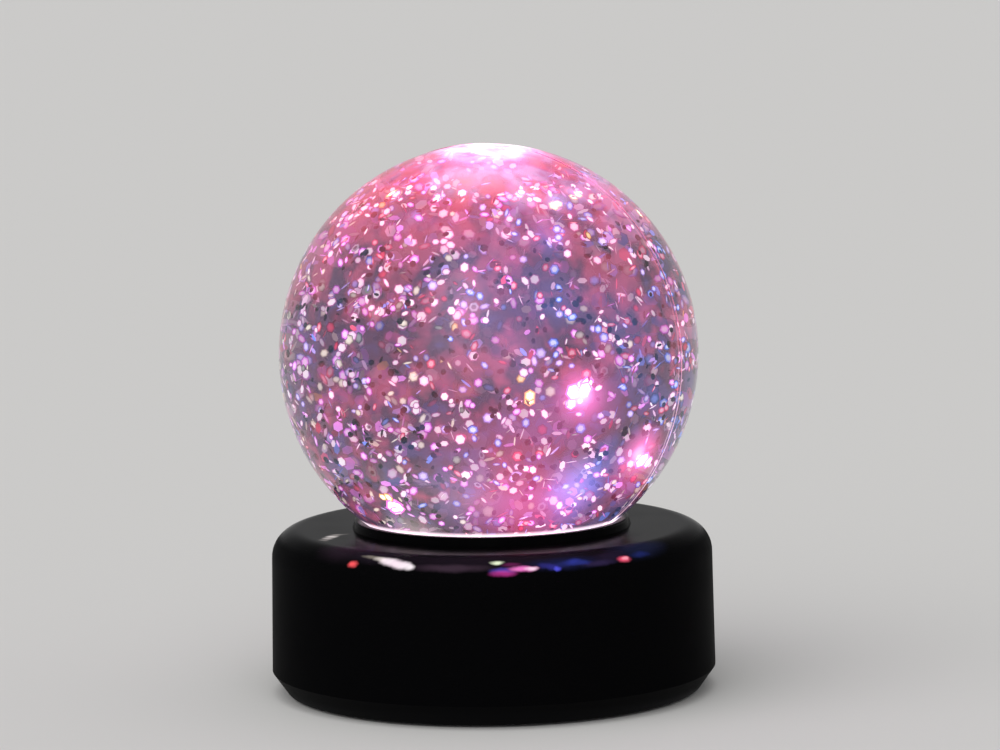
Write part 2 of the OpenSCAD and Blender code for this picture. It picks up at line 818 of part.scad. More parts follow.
module switch_screws() {
  color([0.65, 0.66, 0.68]) for (s = [-1, 1]) translate([s * ear_reach, pad_y - ear_t, switch_z])
    rotate([-90, 0, 0]) pan_screw(ear_screw_r, ear_t + ear_grip, ear_head_r, ear_head_h);
}

// Cell in the row i, with its nub at the end that way points to
module cell(i, way) {
  end_x = box_x - contact_t;
  translate([0, i * cell_step, cell_z]) rotate([0, way > 0 ? 90 : -90, 0]) {
    translate([0, 0, end_x - cell_len]) cylinder(r = cell_r, h = cell_len - nub_h);
    translate([0, 0, end_x - nub_h - cut]) cylinder(r = nub_r, h = nub_h + cut);
  }
}

module cells() {
  color([0.16, 0.30, 0.36]) {
    cell(-1, 1);
    cell(0, -1);
    cell(1, 1);
  }
}

// Contact plate at one end of the box, across the rows from low to high
module contact_plate(end, low, high) {
  y = low * cell_step - cell_r + contact_side;
  translate([end > 0 ? box_x - contact_t : -box_x, y, cell_z - cell_r + contact_edge])
    cube([contact_t, (high - low) * cell_step + 2 * (cell_r - contact_side), 2 * (cell_r - contact_edge)]);
}

module contact_plates() {
  color([0.82, 0.80, 0.74]) {
    contact_plate(1, -1, 0);
    contact_plate(-1, 0, 1);
    contact_plate(-1, -1, -1);
    contact_plate(1, 1, 1);
    for (s = [-1, 1]) translate([s * (box_x - contact_t / 2 + tail_len / 2), s * cell_step, tail_z])
      cube([tail_len, tail_w, contact_t], center = true);
  }
}

// Points of a conical coil from the contact plate to the cell
function coil(len, wide, narrow, curls, n) = [for (i = [0 : curls * n])
  let (k = i / (curls * n), r = wide + (narrow - wide) * k, a = 360 * i / n)
  [len * k, r * cos(a), r * sin(a)]];

module contact_springs() {
  inner = box_x - contact_t;
  run = spring_len - contact_t - 2 * spring_wire_r;
  points = coil(run, spring_wide_r, spring_narrow_r, spring_curls, 10);
  curl_gap = run / spring_curls - 2 * spring_wire_r;
  echo(spring_curl_gap = curl_gap);
  color([0.80, 0.80, 0.80]) for (row = [[-1, -1], [0, 1], [1, -1]])
    translate([row[1] * (inner - spring_wire_r - run_gap), row[0] * cell_step, cell_z])
      rotate([0, 0, row[1] > 0 ? 180 : 0]) sweep(points, spring_wire_r, 6);
}

module battery_door() {
  color([0.06, 0.06, 0.07]) difference() {
    union() {
      translate([0, 0, z_under]) linear_extrude(door_t) door_outline(0);
      for (s = [-0.5, 0.5]) translate([-box_x * 0.8, s * cell_step - rib_w / 2, z_under + door_t / 2])
        cube([box_x * 1.6, rib_w, door_t / 2 + rib_h]);
    }
    for (s = [-1, 1]) translate([0, s * tab_reach, z_under - thread_gap]) {
      cylinder(r1 = door_head_r + snug, r2 = door_screw_r + snug, h = door_head_h + snug);
      cylinder(r = door_screw_r + snug, h = door_t + cut);
    }
  }
}

module door_screws() {
  color([0.65, 0.66, 0.68]) for (s = [-1, 1]) translate([0, s * tab_reach, z_under])
    sunk_screw(door_screw_r, door_boss_top - z_under - door_screw_end, door_head_r, door_head_h);
}

module cover_screws() {
  color([0.65, 0.66, 0.68]) at_turns(screw_turns, post_reach) translate([0, 0, z_post - well_seat])
    pan_screw(screw_r, well_seat + post_grip, head_r, head_h);
}

module feet() {
  color([0.14, 0.14, 0.14]) at_turns(boss_turns, foot_reach) cylinder(r = foot_r, h = foot_h + foot_seat);
}

// Wire along a route, with its corners eased
module wire(route) {
  sweep(eased(route, wire_bend), wire_r, 8);
}

// Wire from the board's underside at one turn to the motor's terminal on the side that way points to
module motor_wire(turn, way) {
  level = motor_z - wire_r - fit;
  wire([polar(lamp_reach, turn, wire_top), polar(lamp_reach, turn, level),
    [way * (terminal_reach + terminal_t / 2 + run_gap), 0, level]]);
}

module red_wires() {
  entry = polar(lamp_reach, 120, 0);
  color([0.70, 0.10, 0.10]) {
    motor_wire(0, 1);
    wire([[tail_end, cell_step, tail_z], [tail_end + wire_side, cell_step, tail_z],
      [tail_end + wire_side, cell_step, switch_z], [frame_w / 4, frame_y - wire_lead, switch_z],
      [frame_w / 4, frame_y, switch_z]]);
    wire([[-frame_w / 4, frame_y, switch_z], [-frame_w / 4, frame_y - wire_lead, switch_z],
      [entry[0], entry[1] + wire_side, z_mount - wire_drop],
      [entry[0], entry[1], z_mount - wire_rise], [entry[0], entry[1], wire_top]]);
  }
}

module black_wires() {
  entry = polar(lamp_reach, 240, 0);
  color([0.08, 0.08, 0.08]) {
    motor_wire(180, -1);
    wire([[-tail_end, -cell_step, tail_z], [-tail_end - wire_side, -cell_step, tail_z],
      [-tail_end - wire_side, -cell_step, switch_z],
      [entry[0] - wire_side, entry[1], z_mount - wire_drop],
      [entry[0], entry[1], z_mount - wire_rise], [entry[0], entry[1], wire_top]]);
  }
}

globe();
liquid();
glitter();
collar_ring();
housing();
bottom_cover();
globe_plug();
neck_seal();
impeller();
impeller_pin();
impeller_cap();
impeller_magnets();
magnet_carrier();
carrier_magnets();
motor_shaft();
motor_can();
motor_bell();
motor_terminals();
motor_screws();
motor_plate();
plug_screws();
board();
red_lamps();
green_lamps();
blue_lamps();
control_chip();
switch_frame();
switch_knob();
switch_screws();
cells();
contact_plates();
contact_springs();
battery_door();
door_screws();
cover_screws();
feet();
red_wires();
black_wires();
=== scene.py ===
import json
import math

import bmesh
import bpy
import numpy as np
from mathutils import Matrix, Vector


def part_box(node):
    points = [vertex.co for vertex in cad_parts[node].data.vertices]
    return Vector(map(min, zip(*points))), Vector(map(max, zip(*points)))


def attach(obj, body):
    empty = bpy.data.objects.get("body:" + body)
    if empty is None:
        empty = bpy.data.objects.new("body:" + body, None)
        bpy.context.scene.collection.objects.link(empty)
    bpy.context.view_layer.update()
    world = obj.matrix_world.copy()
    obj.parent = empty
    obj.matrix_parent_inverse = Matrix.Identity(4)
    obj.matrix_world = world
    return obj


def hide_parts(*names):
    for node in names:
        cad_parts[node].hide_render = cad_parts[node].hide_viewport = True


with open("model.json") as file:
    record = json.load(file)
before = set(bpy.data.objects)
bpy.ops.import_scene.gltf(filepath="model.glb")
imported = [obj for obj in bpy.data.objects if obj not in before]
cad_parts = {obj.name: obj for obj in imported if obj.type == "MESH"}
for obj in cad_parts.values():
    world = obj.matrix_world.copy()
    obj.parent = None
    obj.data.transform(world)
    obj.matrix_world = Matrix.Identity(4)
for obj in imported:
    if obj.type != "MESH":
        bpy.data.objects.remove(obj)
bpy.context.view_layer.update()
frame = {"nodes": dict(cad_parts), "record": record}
nodes = frame["nodes"]
scene = bpy.context.scene
mm = 0.001
mergeGap = 0.0001 * mm


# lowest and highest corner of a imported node, in mm to the tenth, so that its facets don't matter
def boxMm(name):
    return [np.round(np.array(corner) / mm, 1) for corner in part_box(name)]


# a point or a pair of lengths in mm, in metres
def metres(values):
    return [value * mm for value in values]


# sizes and heights in mm that the new pieces share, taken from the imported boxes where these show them
globeLow, globeHigh = boxMm("globe")
impellerLow, impellerHigh = boxMm("impeller")
ball = {
    "radius": (globeHigh[0] - globeLow[0]) / 2, "wall": 2.0, "neckRadius": 34.0, "neckFoot": globeLow[2],
    "collarTop": boxMm("collar_ring")[1][2], "baseTop": boxMm("housing")[1][2],
    "liquidFoot": boxMm("liquid")[0][2], "fillGap": 0.1, "stirGap": 0.6,
    "seamTurn": -26.0, "seamWidth": 0.8, "seamHeight": 0.2, "seamFoot": 0.3,
}
ball["stirRadius"] = (impellerHigh[0] - impellerLow[0]) / 2 + ball["stirGap"]
ball["stirTop"] = boxMm("impeller_pin")[1][2] + ball["stirGap"]
# the neck meets the ball level with the base's top
ball["centre"] = round(ball["baseTop"] + math.sqrt(ball["radius"] ** 2 - ball["neckRadius"] ** 2), 2)
ballCentre = np.array([0.0, 0.0, ball["centre"]])


# sRGB hex to linear: below 0.04045 the value over 12.92, above it ((value + 0.055) / 1.055) to the power 2.4
def hexColour(code):
    srgb = np.array([int(code[i:i + 2], 16) for i in (1, 3, 5)]) / 255.0
    linear = np.where(srgb <= 0.04045, srgb / 12.92, ((srgb + 0.055) / 1.055) ** 2.4)
    return (*linear.tolist(), 1.0)


black = hexColour("#000000")
# settings that several nodes share
smooth = {"interpolation_type": "SMOOTHSTEP"}
colourMix = {"data_type": "RGBA"}
colourSum = {"data_type": "RGBA", "blend_type": "ADD"}


# links to a node's sockets, each from an output or from a node's first output
def linkTo(tree, node, links):
    for key, source in links.items():
        output = source.outputs[0] if hasattr(source, "outputs") else source
        tree.links.new(output, node.inputs[key])


# one node with its settings, on its own fields or its sockets, and its links; sockets 1 to 4 of a MapRange
# are from low, from high, to low and to high, and sockets 0, 6 and 7 of a colour Mix are the share and the
# two colours, with the result at its output 2
def addNode(tree, kind, settings=None, links=None):
    node = tree.nodes.new("ShaderNode" + kind)
    for key, value in (settings or {}).items():
        if isinstance(key, str) and hasattr(node, key) and key not in node.inputs:
            setattr(node, key, value)
        else:
            node.inputs[key].default_value = value
    linkTo(tree, node, links or {})
    return node


# an empty node material with one Principled shader, whose plain values are set on its own sockets
def startMaterial(name, values):
    material = bpy.data.materials.new(name)
    material.use_nodes = True
    material.cycles.emission_sampling = "NONE"  # what glows is seen, but lights nothing as a lamp would
    tree = material.node_tree
    tree.nodes.clear()
    skin = addNode(tree, "BsdfPrincipled", values)
    addNode(tree, "OutputMaterial", None, {"Surface": skin})
    place = addNode(tree, "TexCoord").outputs["Object"]
    return material, tree, skin, place


# colour stops on a ramp node, as (position, hex colour) pairs
def setStops(ramp, stops, ease="LINEAR"):
    elements = ramp.color_ramp.elements
    ramp.color_ramp.interpolation = ease
    while len(elements) < len(stops):
        elements.new(1.0)
    for element, (position, code) in zip(elements, stops):
        element.position = position
        element.color = hexColour(code)


# a mesh piece at the origin, on the lamp's body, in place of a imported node: points in mm, faces as rows of
# indices, doubles merged so that seams and poles close, edges over sharp degrees kept sharp
def makePiece(name, points, faces, materials, sharp, node, picks=None):
    mesh = bpy.data.meshes.new(name)
    mesh.from_pydata((points * mm).tolist(), [], faces.tolist())
    for material in materials:
        mesh.materials.append(material)
    if picks is not None:
        mesh.polygons.foreach_set("material_index", picks.astype(np.int32))
    work = bmesh.new()
    work.from_mesh(mesh)
    bmesh.ops.remove_doubles(work, verts=work.verts, dist=mergeGap)
    work.to_mesh(mesh)
    work.free()
    mesh.shade_smooth()
    mesh.set_sharp_from_angle(angle=math.radians(sharp))
    piece = bpy.data.objects.new(name, mesh)
    scene.collection.objects.link(piece)
    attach(piece, "lamp")
    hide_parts(node)
    print(name, "has", len(mesh.polygons), "faces")


# rows of vectors, each divided by its length
def unit(vectors):
    return vectors / np.linalg.norm(vectors, axis=-1, keepdims=True)


# quads between each row of points and the next, every row closed on itself
def gridFaces(rows, columns):
    i, j = np.meshgrid(np.arange(rows - 1), np.arange(columns), indexing="ij")
    k = (j + 1) % columns
    corners = [i * columns + j, i * columns + k, (i + 1) * columns + k, (i + 1) * columns + j]
    return np.stack(corners, -1).reshape(-1, 4)


# a profile of (radius, height) turned about the upright axis: point(i, j) = (r_i cos a_j, r_i sin a_j, z_i)
# the profile runs up the outside, so that the faces look outwards
def turned(profile, angles):
    r, z = profile[:, :1], profile[:, 1:]
    points = np.stack([r * np.cos(angles), r * np.sin(angles), z + 0 * angles], -1)
    return points.reshape(-1, 3), gridFaces(len(profile), len(angles))


# a round section carried along a path: point(i, j) = path_i + radius (cos b_j side_i + sin b_j up_i), where
# side and up stand square to the path, and a point closes each end
def tubeAlong(path, radius, sides):
    slant = (0.31, 0.24, 0.92)  # a direction that no path here runs in
    along = unit(np.gradient(path, axis=0))
    side = unit(np.cross(along, slant))
    up = np.cross(along, side)
    b = np.linspace(0, 2 * np.pi, sides, endpoint=False)
    ring = np.cos(b)[:, None] * side[:, None] + np.sin(b)[:, None] * up[:, None]
    ends = np.repeat(path[[0, -1], None], sides, axis=1)
    points = np.concatenate([ends[:1], path[:, None] + radius * ring, ends[1:]])
    return points.reshape(-1, 3), gridFaces(len(points), sides)


# several meshes as one: indices shift by the points before them
def joined(parts):
    starts = np.cumsum([0] + [len(points) for points, faces in parts[:-1]])
    allPoints = np.concatenate([points for points, faces in parts])
    return allPoints, np.concatenate([faces + start for (points, faces), start in zip(parts, starts)])


# camera at the photograph's place: 1.24 m in front, 0.24 m up, long lens, slightly rolled
cameraSet = {
    "place": (0.0, -1.2396, 0.2395), "pitchDown": 0.1195, "roll": -0.0175,
    "lens": 157.08, "sensor": 36.0, "shiftX": 0.011, "clip": (0.05, 60.0),
}
lens = bpy.data.cameras.new("camera")
lens.lens = cameraSet["lens"]
lens.sensor_width = cameraSet["sensor"]
lens.sensor_fit = "HORIZONTAL"
lens.shift_x = cameraSet["shiftX"]
lens.clip_start, lens.clip_end = cameraSet["clip"]
camera = bpy.data.objects.new("camera", lens)
camera.matrix_world = (Matrix.Translation(cameraSet["place"])
                       @ Matrix.Rotation(math.pi / 2 - cameraSet["pitchDown"], 4, "X")
                       @ Matrix.Rotation(cameraSet["roll"], 4, "Z"))
scene.collection.objects.link(camera)
scene.camera = camera
print("camera placed")

# soft studio: an even pale world and one very broad panel from the upper left, which shows in no reflection
studio = {
    "world": "#e9e9ea", "worldLevel": 0.62,
    "panelAim": (0.45, 0.75, -1.0), "panelLevel": 1.5, "panelSpread": 80.0,
    "floor": "#d9d8d6", "floorSize": 60.0, "floorSquares": 8, "clearRay": 5.0,
}
world = bpy.data.worlds.new("studio world")
scene.world = world
world.use_nodes = True
world.node_tree.nodes.clear()
sky = addNode(world.node_tree, "Background", {
    "Color": hexColour(studio["world"]), "Strength": studio["worldLevel"]})
addNode(world.node_tree, "OutputWorld", None, {"Surface": sky})
panel = bpy.data.lights.new("broad panel", "SUN")
panel.energy = studio["panelLevel"]
panel.angle = math.radians(studio["panelSpread"])
panelLamp = bpy.data.objects.new("broad panel", panel)
panelLamp.rotation_mode = "QUATERNION"
panelLamp.rotation_quaternion = Vector(studio["panelAim"]).to_track_quat("-Z", "Y")
panelLamp.visible_glossy = False
scene.collection.objects.link(panelLamp)


# painted board: a pale matt sheet, even all over; it is clear from below, and to rays shorter than clearRay
# in mm, such as those from the base that stands on it, so that the underside can be looked at
def paintedBoard():
    material, tree, skin = startMaterial("matt painted board", {
        "Base Color": hexColour(studio["floor"]), "Roughness": 0.9, "Specular IOR Level": 0.05})[:3]
    length = addNode(tree, "LightPath").outputs["Ray Length"]
    short = addNode(tree, "Math", {"operation": "LESS_THAN", 1: studio["clearRay"] * mm}, {0: length})
    below = addNode(tree, "NewGeometry").outputs["Backfacing"]
    passed = addNode(tree, "Math", {"operation": "MAXIMUM"}, {0: below, 1: short})
    clear = addNode(tree, "BsdfTransparent")
    oneSided = addNode(tree, "MixShader", None, {0: passed, 1: skin, 2: clear})
    linkTo(tree, tree.nodes["Material Output"], {"Surface": oneSided})
    return material


# the floor is a flat grid of squares: point(i, j) = (u_j, u_i, 0)
squares = studio["floorSquares"]
side = np.linspace(-0.5, 0.5, squares + 1) * studio["floorSize"]
u, v = np.meshgrid(side, side)
floorPoints = np.stack([u, v, 0 * u], -1).reshape(-1, 3)
i, j = np.meshgrid(np.arange(squares), np.arange(squares), indexing="ij")
corner = (i * (squares + 1) + j).reshape(-1)
floorFaces = np.stack([corner, corner + 1, corner + squares + 2, corner + squares + 1], -1)
floorMesh = bpy.data.meshes.new("floor")
floorMesh.from_pydata(floorPoints.tolist(), [], floorFaces.tolist())
floorMesh.materials.append(paintedBoard())
floor = bpy.data.objects.new("floor", floorMesh)
scene.collection.objects.link(floor)
print("studio built")

# globe: clear moulded shell with a neck and an upright seam, one sphere inside another
globeSet = {
    "outerRows": 132, "innerRows": 96, "columns": 240, "neckRings": (43.0, 44.0),
    "seamColumns": 25, "seamSpread": 0.032, "leastTurn": 0.0012, "sharp": 50.0,
}


# even angles round the ball, with extra ones close to both sides of the seam, and none nearer than leastTurn
def globeAngles():
    seam = math.radians(ball["seamTurn"])
    even = np.linspace(0, 2 * np.pi, globeSet["columns"], endpoint=False)
    near = np.linspace(-globeSet["seamSpread"], globeSet["seamSpread"], globeSet["seamColumns"])
    angles = np.sort(np.concatenate([even, seam + near, seam + np.pi + near]) % (2 * np.pi))
    return angles[np.concatenate([[True], np.diff(angles) > globeSet["leastTurn"]])]


# an arc of a circle about the ball's centre from a foot radius up to the pole: (r cos a, centre + r sin a)
def arcToPole(radius, foot, rows):
    a = np.linspace(math.asin(foot / radius) - math.pi / 2, math.pi / 2, rows)
    arc = np.stack([radius * np.cos(a), ball["centre"] + radius * np.sin(a)], -1)
    arc[-1, 0] = 0.0
    return arc


# two turned profiles, up the outside and down the inside, from the neck's foot to the pole
# the seam stands up as a low parabola across its width: height (1 - (distance / half width) squared)
def globeShell():
    angles = globeAngles()
    radius, neckRadius, foot = ball["radius"], ball["neckRadius"], ball["neckFoot"]
    bore = neckRadius - ball["wall"]
    outerRing, innerRing = globeSet["neckRings"]
    outer = np.concatenate([
        [(bore, foot), (neckRadius, foot), (neckRadius, outerRing)],
        arcToPole(radius, neckRadius, globeSet["outerRows"])])
    inner = np.concatenate([
        [(bore, foot), (bore, innerRing)],
        arcToPole(radius - ball["wall"], bore, globeSet["innerRows"])])
    outerPoints, outerFaces = turned(outer, angles)
    innerPoints, innerFaces = turned(inner[::-1], angles)
    turn = math.radians(ball["seamTurn"])
    across = outerPoints[:, 0] * -math.sin(turn) + outerPoints[:, 1] * math.cos(turn)
    rise = ball["seamHeight"] * np.clip(1 - (across / (ball["seamWidth"] / 2)) ** 2, 0, None)
    rise *= outerPoints[:, 2] > ball["collarTop"] + ball["seamFoot"]
    outerPoints += unit(outerPoints - ballCentre) * rise[:, None]
    points, faces = joined([(outerPoints, outerFaces), (innerPoints, innerFaces)])
    return points, faces, np.repeat([0, 1], [len(outerFaces), len(innerFaces)])


# the lamps' light painted into the globe's wall as glow, in mm: a crown broken into streaks, a line at the
# foot, the seam
glowSet = {
    "crown": (0.8, -5.0, 156.5), "crownReach": (23.5, 7.0),
    "crownGlows": [(0.0, "#000000"), (0.35, "#7c3f66"), (0.7, "#d9a0cf"), (1.0, "#fff6fc")],
    "streak": 8.333, "streakLie": (1.0, 1.0, 3.0), "streakSpan": (0.36, 0.62), "streakLevel": (0.45, 1.15),
    "foot": (51.2, 50.0), "footGlow": "#ffe3f1",
    "seam": (0.42, 0.126), "seamHeights": (75.0, 105.0), "seamGlows": ("#e3bccd", "#b4566a"),
    "clear": "#fdfbfd", "mark": 3.846, "markSpan": (0.45, 0.75), "markRough": (0.005, 0.035),
    # refraction and strength of the light, against air and against the liquid
    "outside": (1.49, 1.0), "inside": (1.12, 0.6),
}


# moulded polystyrene: clear and glossy, with patches of handling marks, and the lamps' light painted into it
# as glow
def styrene(name, ior, glow):
    material, tree, skin, place = startMaterial(name, {
        "Base Color": hexColour(glowSet["clear"]), "Transmission Weight": 1.0, "IOR": ior,
        "Emission Strength": glow})
    height = addNode(tree, "SeparateXYZ", None, {0: place}).outputs[2]
    # crown: a painted glow, round, times streaks that lie flat
    fromTop = addNode(tree, "VectorMath", {"operation": "DISTANCE", 1: metres(glowSet["crown"])}, {0: place})
    far, near = metres(glowSet["crownReach"])
    crown = addNode(tree, "MapRange", {**smooth, 1: far, 2: near}, {0: fromTop.outputs["Value"]})
    lie = addNode(tree, "Mapping", {"Scale": glowSet["streakLie"]}, {0: place})
    streak = addNode(tree, "TexNoise", {
        "Scale": 1000 / glowSet["streak"], "Detail": 3.0, "Roughness": 0.6, "Distortion": 0.6}, {0: lie})
    low, high = glowSet["streakSpan"]
    faint, strong = glowSet["streakLevel"]
    shaped = addNode(tree, "MapRange", {1: low, 2: high, 3: faint, 4: strong}, {0: streak})
    top = addNode(tree, "Math", {"operation": "MULTIPLY"}, {0: crown, 1: shaped})
    crownGlow = addNode(tree, "ValToRGB", None, {0: top})
    setStops(crownGlow, glowSet["crownGlows"])
    # foot: a painted line of light just above the collar
    dim, bright = metres(glowSet["foot"])
    foot = addNode(tree, "MapRange", {**smooth, 1: dim, 2: bright}, {0: height})
    footGlow = addNode(tree, "Mix", {**colourMix, 6: black, 7: hexColour(glowSet["footGlow"])}, {0: foot})
    # seam: a painted highlight, a fine glowing line along the plane where the mould's halves met, redder high
    # up
    turn = math.radians(ball["seamTurn"])
    across = addNode(tree, "VectorMath", {
        "operation": "DOT_PRODUCT", 1: (-math.sin(turn), math.cos(turn), 0.0)}, {0: place})
    off = addNode(tree, "Math", {"operation": "ABSOLUTE"}, {0: across.outputs["Value"]})
    edge, core = metres(glowSet["seam"])
    line = addNode(tree, "MapRange", {**smooth, 1: edge, 2: core}, {0: off})
    low, high = metres(glowSet["seamHeights"])
    up = addNode(tree, "MapRange", {1: low, 2: high}, {0: height})
    lowGlow, highGlow = glowSet["seamGlows"]
    seamGlow = addNode(tree, "Mix", {**colourMix, 6: hexColour(lowGlow), 7: hexColour(highGlow)}, {0: up})
    seamLineGlow = addNode(tree, "Mix", {**colourMix, 6: black}, {0: line, 7: seamGlow.outputs[2]})
    glowing = crownGlow.outputs[0]
    for more in (footGlow, seamLineGlow):
        total = addNode(tree, "Mix", {**colourSum, 0: 1.0}, {6: glowing, 7: more.outputs[2]})
        glowing = total.outputs[2]
    marks = addNode(tree, "TexNoise", {"Scale": 1000 / glowSet["mark"], "Detail": 2.0}, {0: place})
    low, high = glowSet["markSpan"]
    glossy, dull = glowSet["markRough"]
    rough = addNode(tree, "MapRange", {1: low, 2: high, 3: glossy, 4: dull}, {0: marks})
    linkTo(tree, skin, {"Emission Color": glowing, "Roughness": rough})
    return material


clearWalls = [
    styrene("clear moulded polystyrene", *glowSet["outside"]),
    styrene("clear polystyrene against liquid", *glowSet["inside"])]
points, faces, picks = globeShell()
makePiece("globe_shell", points, faces, clearWalls, globeSet["sharp"], "globe", picks)

# liquid: fills the ball up to a small gap from its wall, and leaves out the space that the stirrer sweeps
liquidSet = {"rows": 110, "columns": 200, "sharp": 35.0}


# one turned profile: over the stirrer's space, down its side, out along the floor and up the wall to the pole
def liquidBody():
    reach = ball["radius"] - ball["wall"] - ball["fillGap"]
    bore = ball["neckRadius"] - ball["wall"] - ball["fillGap"]
    low, stirRadius, stirTop = ball["liquidFoot"], ball["stirRadius"], ball["stirTop"]
    profile = np.concatenate([
        [(0.0, stirTop), (stirRadius, stirTop), (stirRadius, low), (bore, low)],
        arcToPole(reach, bore, liquidSet["rows"])])
    return turned(profile, np.linspace(0, 2 * np.pi, liquidSet["columns"], endpoint=False))


# the lamps' light painted into the liquid as coloured glow, lengths and heights in mm
hazeSet = {
    # clouds: sizes of the broad and the fine noise, their mix, and how the mix leans to the side and upwards
    "cloud": 24.0, "fleck": 6.5, "fleckShare": 0.6,
    "sideSpan": (-60.0, 60.0), "sideLean": (0.02, -0.02), "rise": (88.0, 118.0), "riseLean": (-0.03, 0.085),
    "clouds": [(0.40, "#22345c"), (0.47, "#1a2030"), (0.52, "#1f1c22"), (0.57, "#64283a"), (0.66, "#983c52")],
    # crown: a painted glow, the heights where it comes in, its colours, and how they lean to the side
    "crownRise": (127.0, 152.0), "crownGlows": [(0.4, "#d83a4e"), (0.5, "#c64480"), (0.6, "#cc86be")],
    "crownSpan": (-35.0, 35.0), "crownLean": (-0.12, 0.05),
    # all this painted glow shows at the ball's wall alone; through its body the liquid dims what is behind
    # it, and lit dust glows a little, a painted light too
    "wallSpan": (50.0, 55.0), "soak": "#aa95a4", "density": 54.0,
    "dust": "#987898", "dustLevel": 11.8,
    # painted light where a lamp's beam lights the dust: place, radius, colour
    "beams": [
        # right front, round the two brightest groups of flakes
        ((25, -52, 91), 4.5, "#ffc8ee"), ((25, -52, 91), 10, "#e070c4"), ((25, -52, 88), 20, "#a8345c"),
        ((41, -34, 72), 4, "#ffc8ee"), ((41, -33, 73), 11, "#e070c0"), ((43, -32, 66), 18, "#c43858"),
        ((36, -44, 108), 20, "#203464"), ((20, -51, 117), 14, "#203464"), ((30, -40, 70), 12, "#2c4890"),
        ((22, -37, 56), 15, "#3c4c8c"), ((22, -42, 63), 11, "#34468c"), ((22, -43, 65), 13, "#6c7cc4"),
        # middle front, from low to high
        ((11, -46, 59), 26, "#d03a6a"), ((3, -49, 63), 16, "#4e4462"), ((-8, -47, 63), 12, "#544858"),
        ((-9, -50, 66), 17, "#5c3c4c"), ((7, -56, 80), 17, "#8c2c50"), ((-9, -55, 80), 15, "#6c2c4a"),
        ((8, -57, 97), 15, "#54364f"), ((8, -57, 106), 11, "#543450"), ((-8, -56, 107), 18, "#4a4048"),
        ((-7, -52, 119), 13, "#584c54"), ((3, -54, 121), 30, "#463c6a"),
        # below the crown
        ((17, -42, 133), 9, "#30488c"), ((10, -33, 143), 7, "#8088a8"), ((19, -31, 142), 6, "#7880b0"),
        ((24, -25, 143), 5, "#747490"), ((4, -19, 151), 20, "#8c5080"), ((-13, -20, 150), 14, "#5c3040"),
        ((-5, -27, 148), 13, "#a09098"), ((8, -26, 148), 12, "#847480"),
        # low on the left
        ((-16, -42, 58), 24, "#42403e"), ((-21, -28, 52), 12, "#9a8f86"), ((-28, -38, 62), 24, "#303a2c"),
        # back
        ((-24, 48, 84), 22, "#a03058"), ((30, 46, 104), 20, "#203464"), ((10, 50, 70), 18, "#7c2c58"),
    ],
}


# tinted water and glycerine: clear, dulled by fine glitter dust, with the lamps' light painted in it as soft
# clouds of glow
def tintedLiquidWithGlow():
    material, tree, skin, place = startMaterial("tinted water and glycerine", {
        "Base Color": hexColour("#ffffff"), "Transmission Weight": 1.0, "IOR": 1.0, "Roughness": 0.0,
        "Emission Strength": 1.0})
    cloud = addNode(tree, "TexNoise", {
        "Scale": 1000 / hazeSet["cloud"], "Detail": 1.0, "Distortion": 0.4}, {0: place})
    fleck = addNode(tree, "TexNoise", {"Scale": 1000 / hazeSet["fleck"], "Detail": 2.0}, {0: place})
    blend = addNode(tree, "Mix", {**colourMix, 0: hazeSet["fleckShare"]}, {
        6: cloud.outputs["Color"], 7: fleck.outputs["Color"]})
    fields = addNode(tree, "SeparateColor", None, {0: blend.outputs[2]})
    parts = addNode(tree, "SeparateXYZ", None, {0: place})
    # a ramp on a noise field plus its leans: ramp, field, and the axis, span and lean of each
    leaning = {}
    for name, field, leans in (
            ("clouds", 0, ((0, "sideSpan", "sideLean"), (2, "rise", "riseLean"))),
            ("crownGlows", 2, ((0, "crownSpan", "crownLean"),))):
        total = fields.outputs[field]
        for axis, span, lean in leans:
            low, high = metres(hazeSet[span])
            start, end = hazeSet[lean]
            more = addNode(tree, "MapRange", {1: low, 2: high, 3: start, 4: end}, {0: parts.outputs[axis]})
            total = addNode(tree, "Math", {"operation": "ADD"}, {0: total, 1: more}).outputs[0]
        leaning[name] = addNode(tree, "ValToRGB", None, {0: total})
        setStops(leaning[name], hazeSet[name])
    glowing = leaning["clouds"].outputs[0]
    # painted light: the lamps' beams on the dust, added as glow
    for spot, reach, code in hazeSet["beams"]:
        away = addNode(tree, "VectorMath", {"operation": "DISTANCE", 1: metres(spot)}, {0: place})
        near = addNode(tree, "MapRange", {**smooth, 1: reach * mm, 2: 0.0}, {0: away.outputs["Value"]})
        lit = addNode(tree, "Mix", {**colourSum, 7: hexColour(code)}, {0: near, 6: glowing})
        glowing = lit.outputs[2]
    # painted light: the crown's glow high in the liquid
    low, high = metres(hazeSet["crownRise"])
    crown = addNode(tree, "MapRange", {**smooth, 1: low, 2: high}, {0: parts.outputs[2]})
    crowned = addNode(tree, "Mix", colourSum, {0: crown, 6: glowing, 7: leaning["crownGlows"]})
    fromCentre = addNode(tree, "VectorMath", {
        "operation": "DISTANCE", 1: metres(ballCentre.tolist())}, {0: place})
    low, high = metres(hazeSet["wallSpan"])
    atWall = addNode(tree, "MapRange", {1: low, 2: high}, {0: fromCentre.outputs["Value"]})
    shown = addNode(tree, "Mix", {**colourMix, 6: black}, {0: atWall, 7: crowned.outputs[2]})
    linkTo(tree, skin, {"Emission Color": shown.outputs[2]})
    soak = addNode(tree, "VolumeAbsorption", {
        "Color": hexColour(hazeSet["soak"]), "Density": hazeSet["density"]})
    # painted light: the body's faint glow stands for the lamps' light on the dust
    dust = addNode(tree, "Emission", {
        "Color": hexColour(hazeSet["dust"]), "Strength": hazeSet["dustLevel"]})
    body = addNode(tree, "AddShader", None, {0: soak, 1: dust})
    linkTo(tree, tree.nodes["Material Output"], {"Volume": body})
    return material


points, faces = liquidBody()
makePiece("liquid_fill", points, faces, [tintedLiquidWithGlow()], liquidSet["sharp"], "liquid")
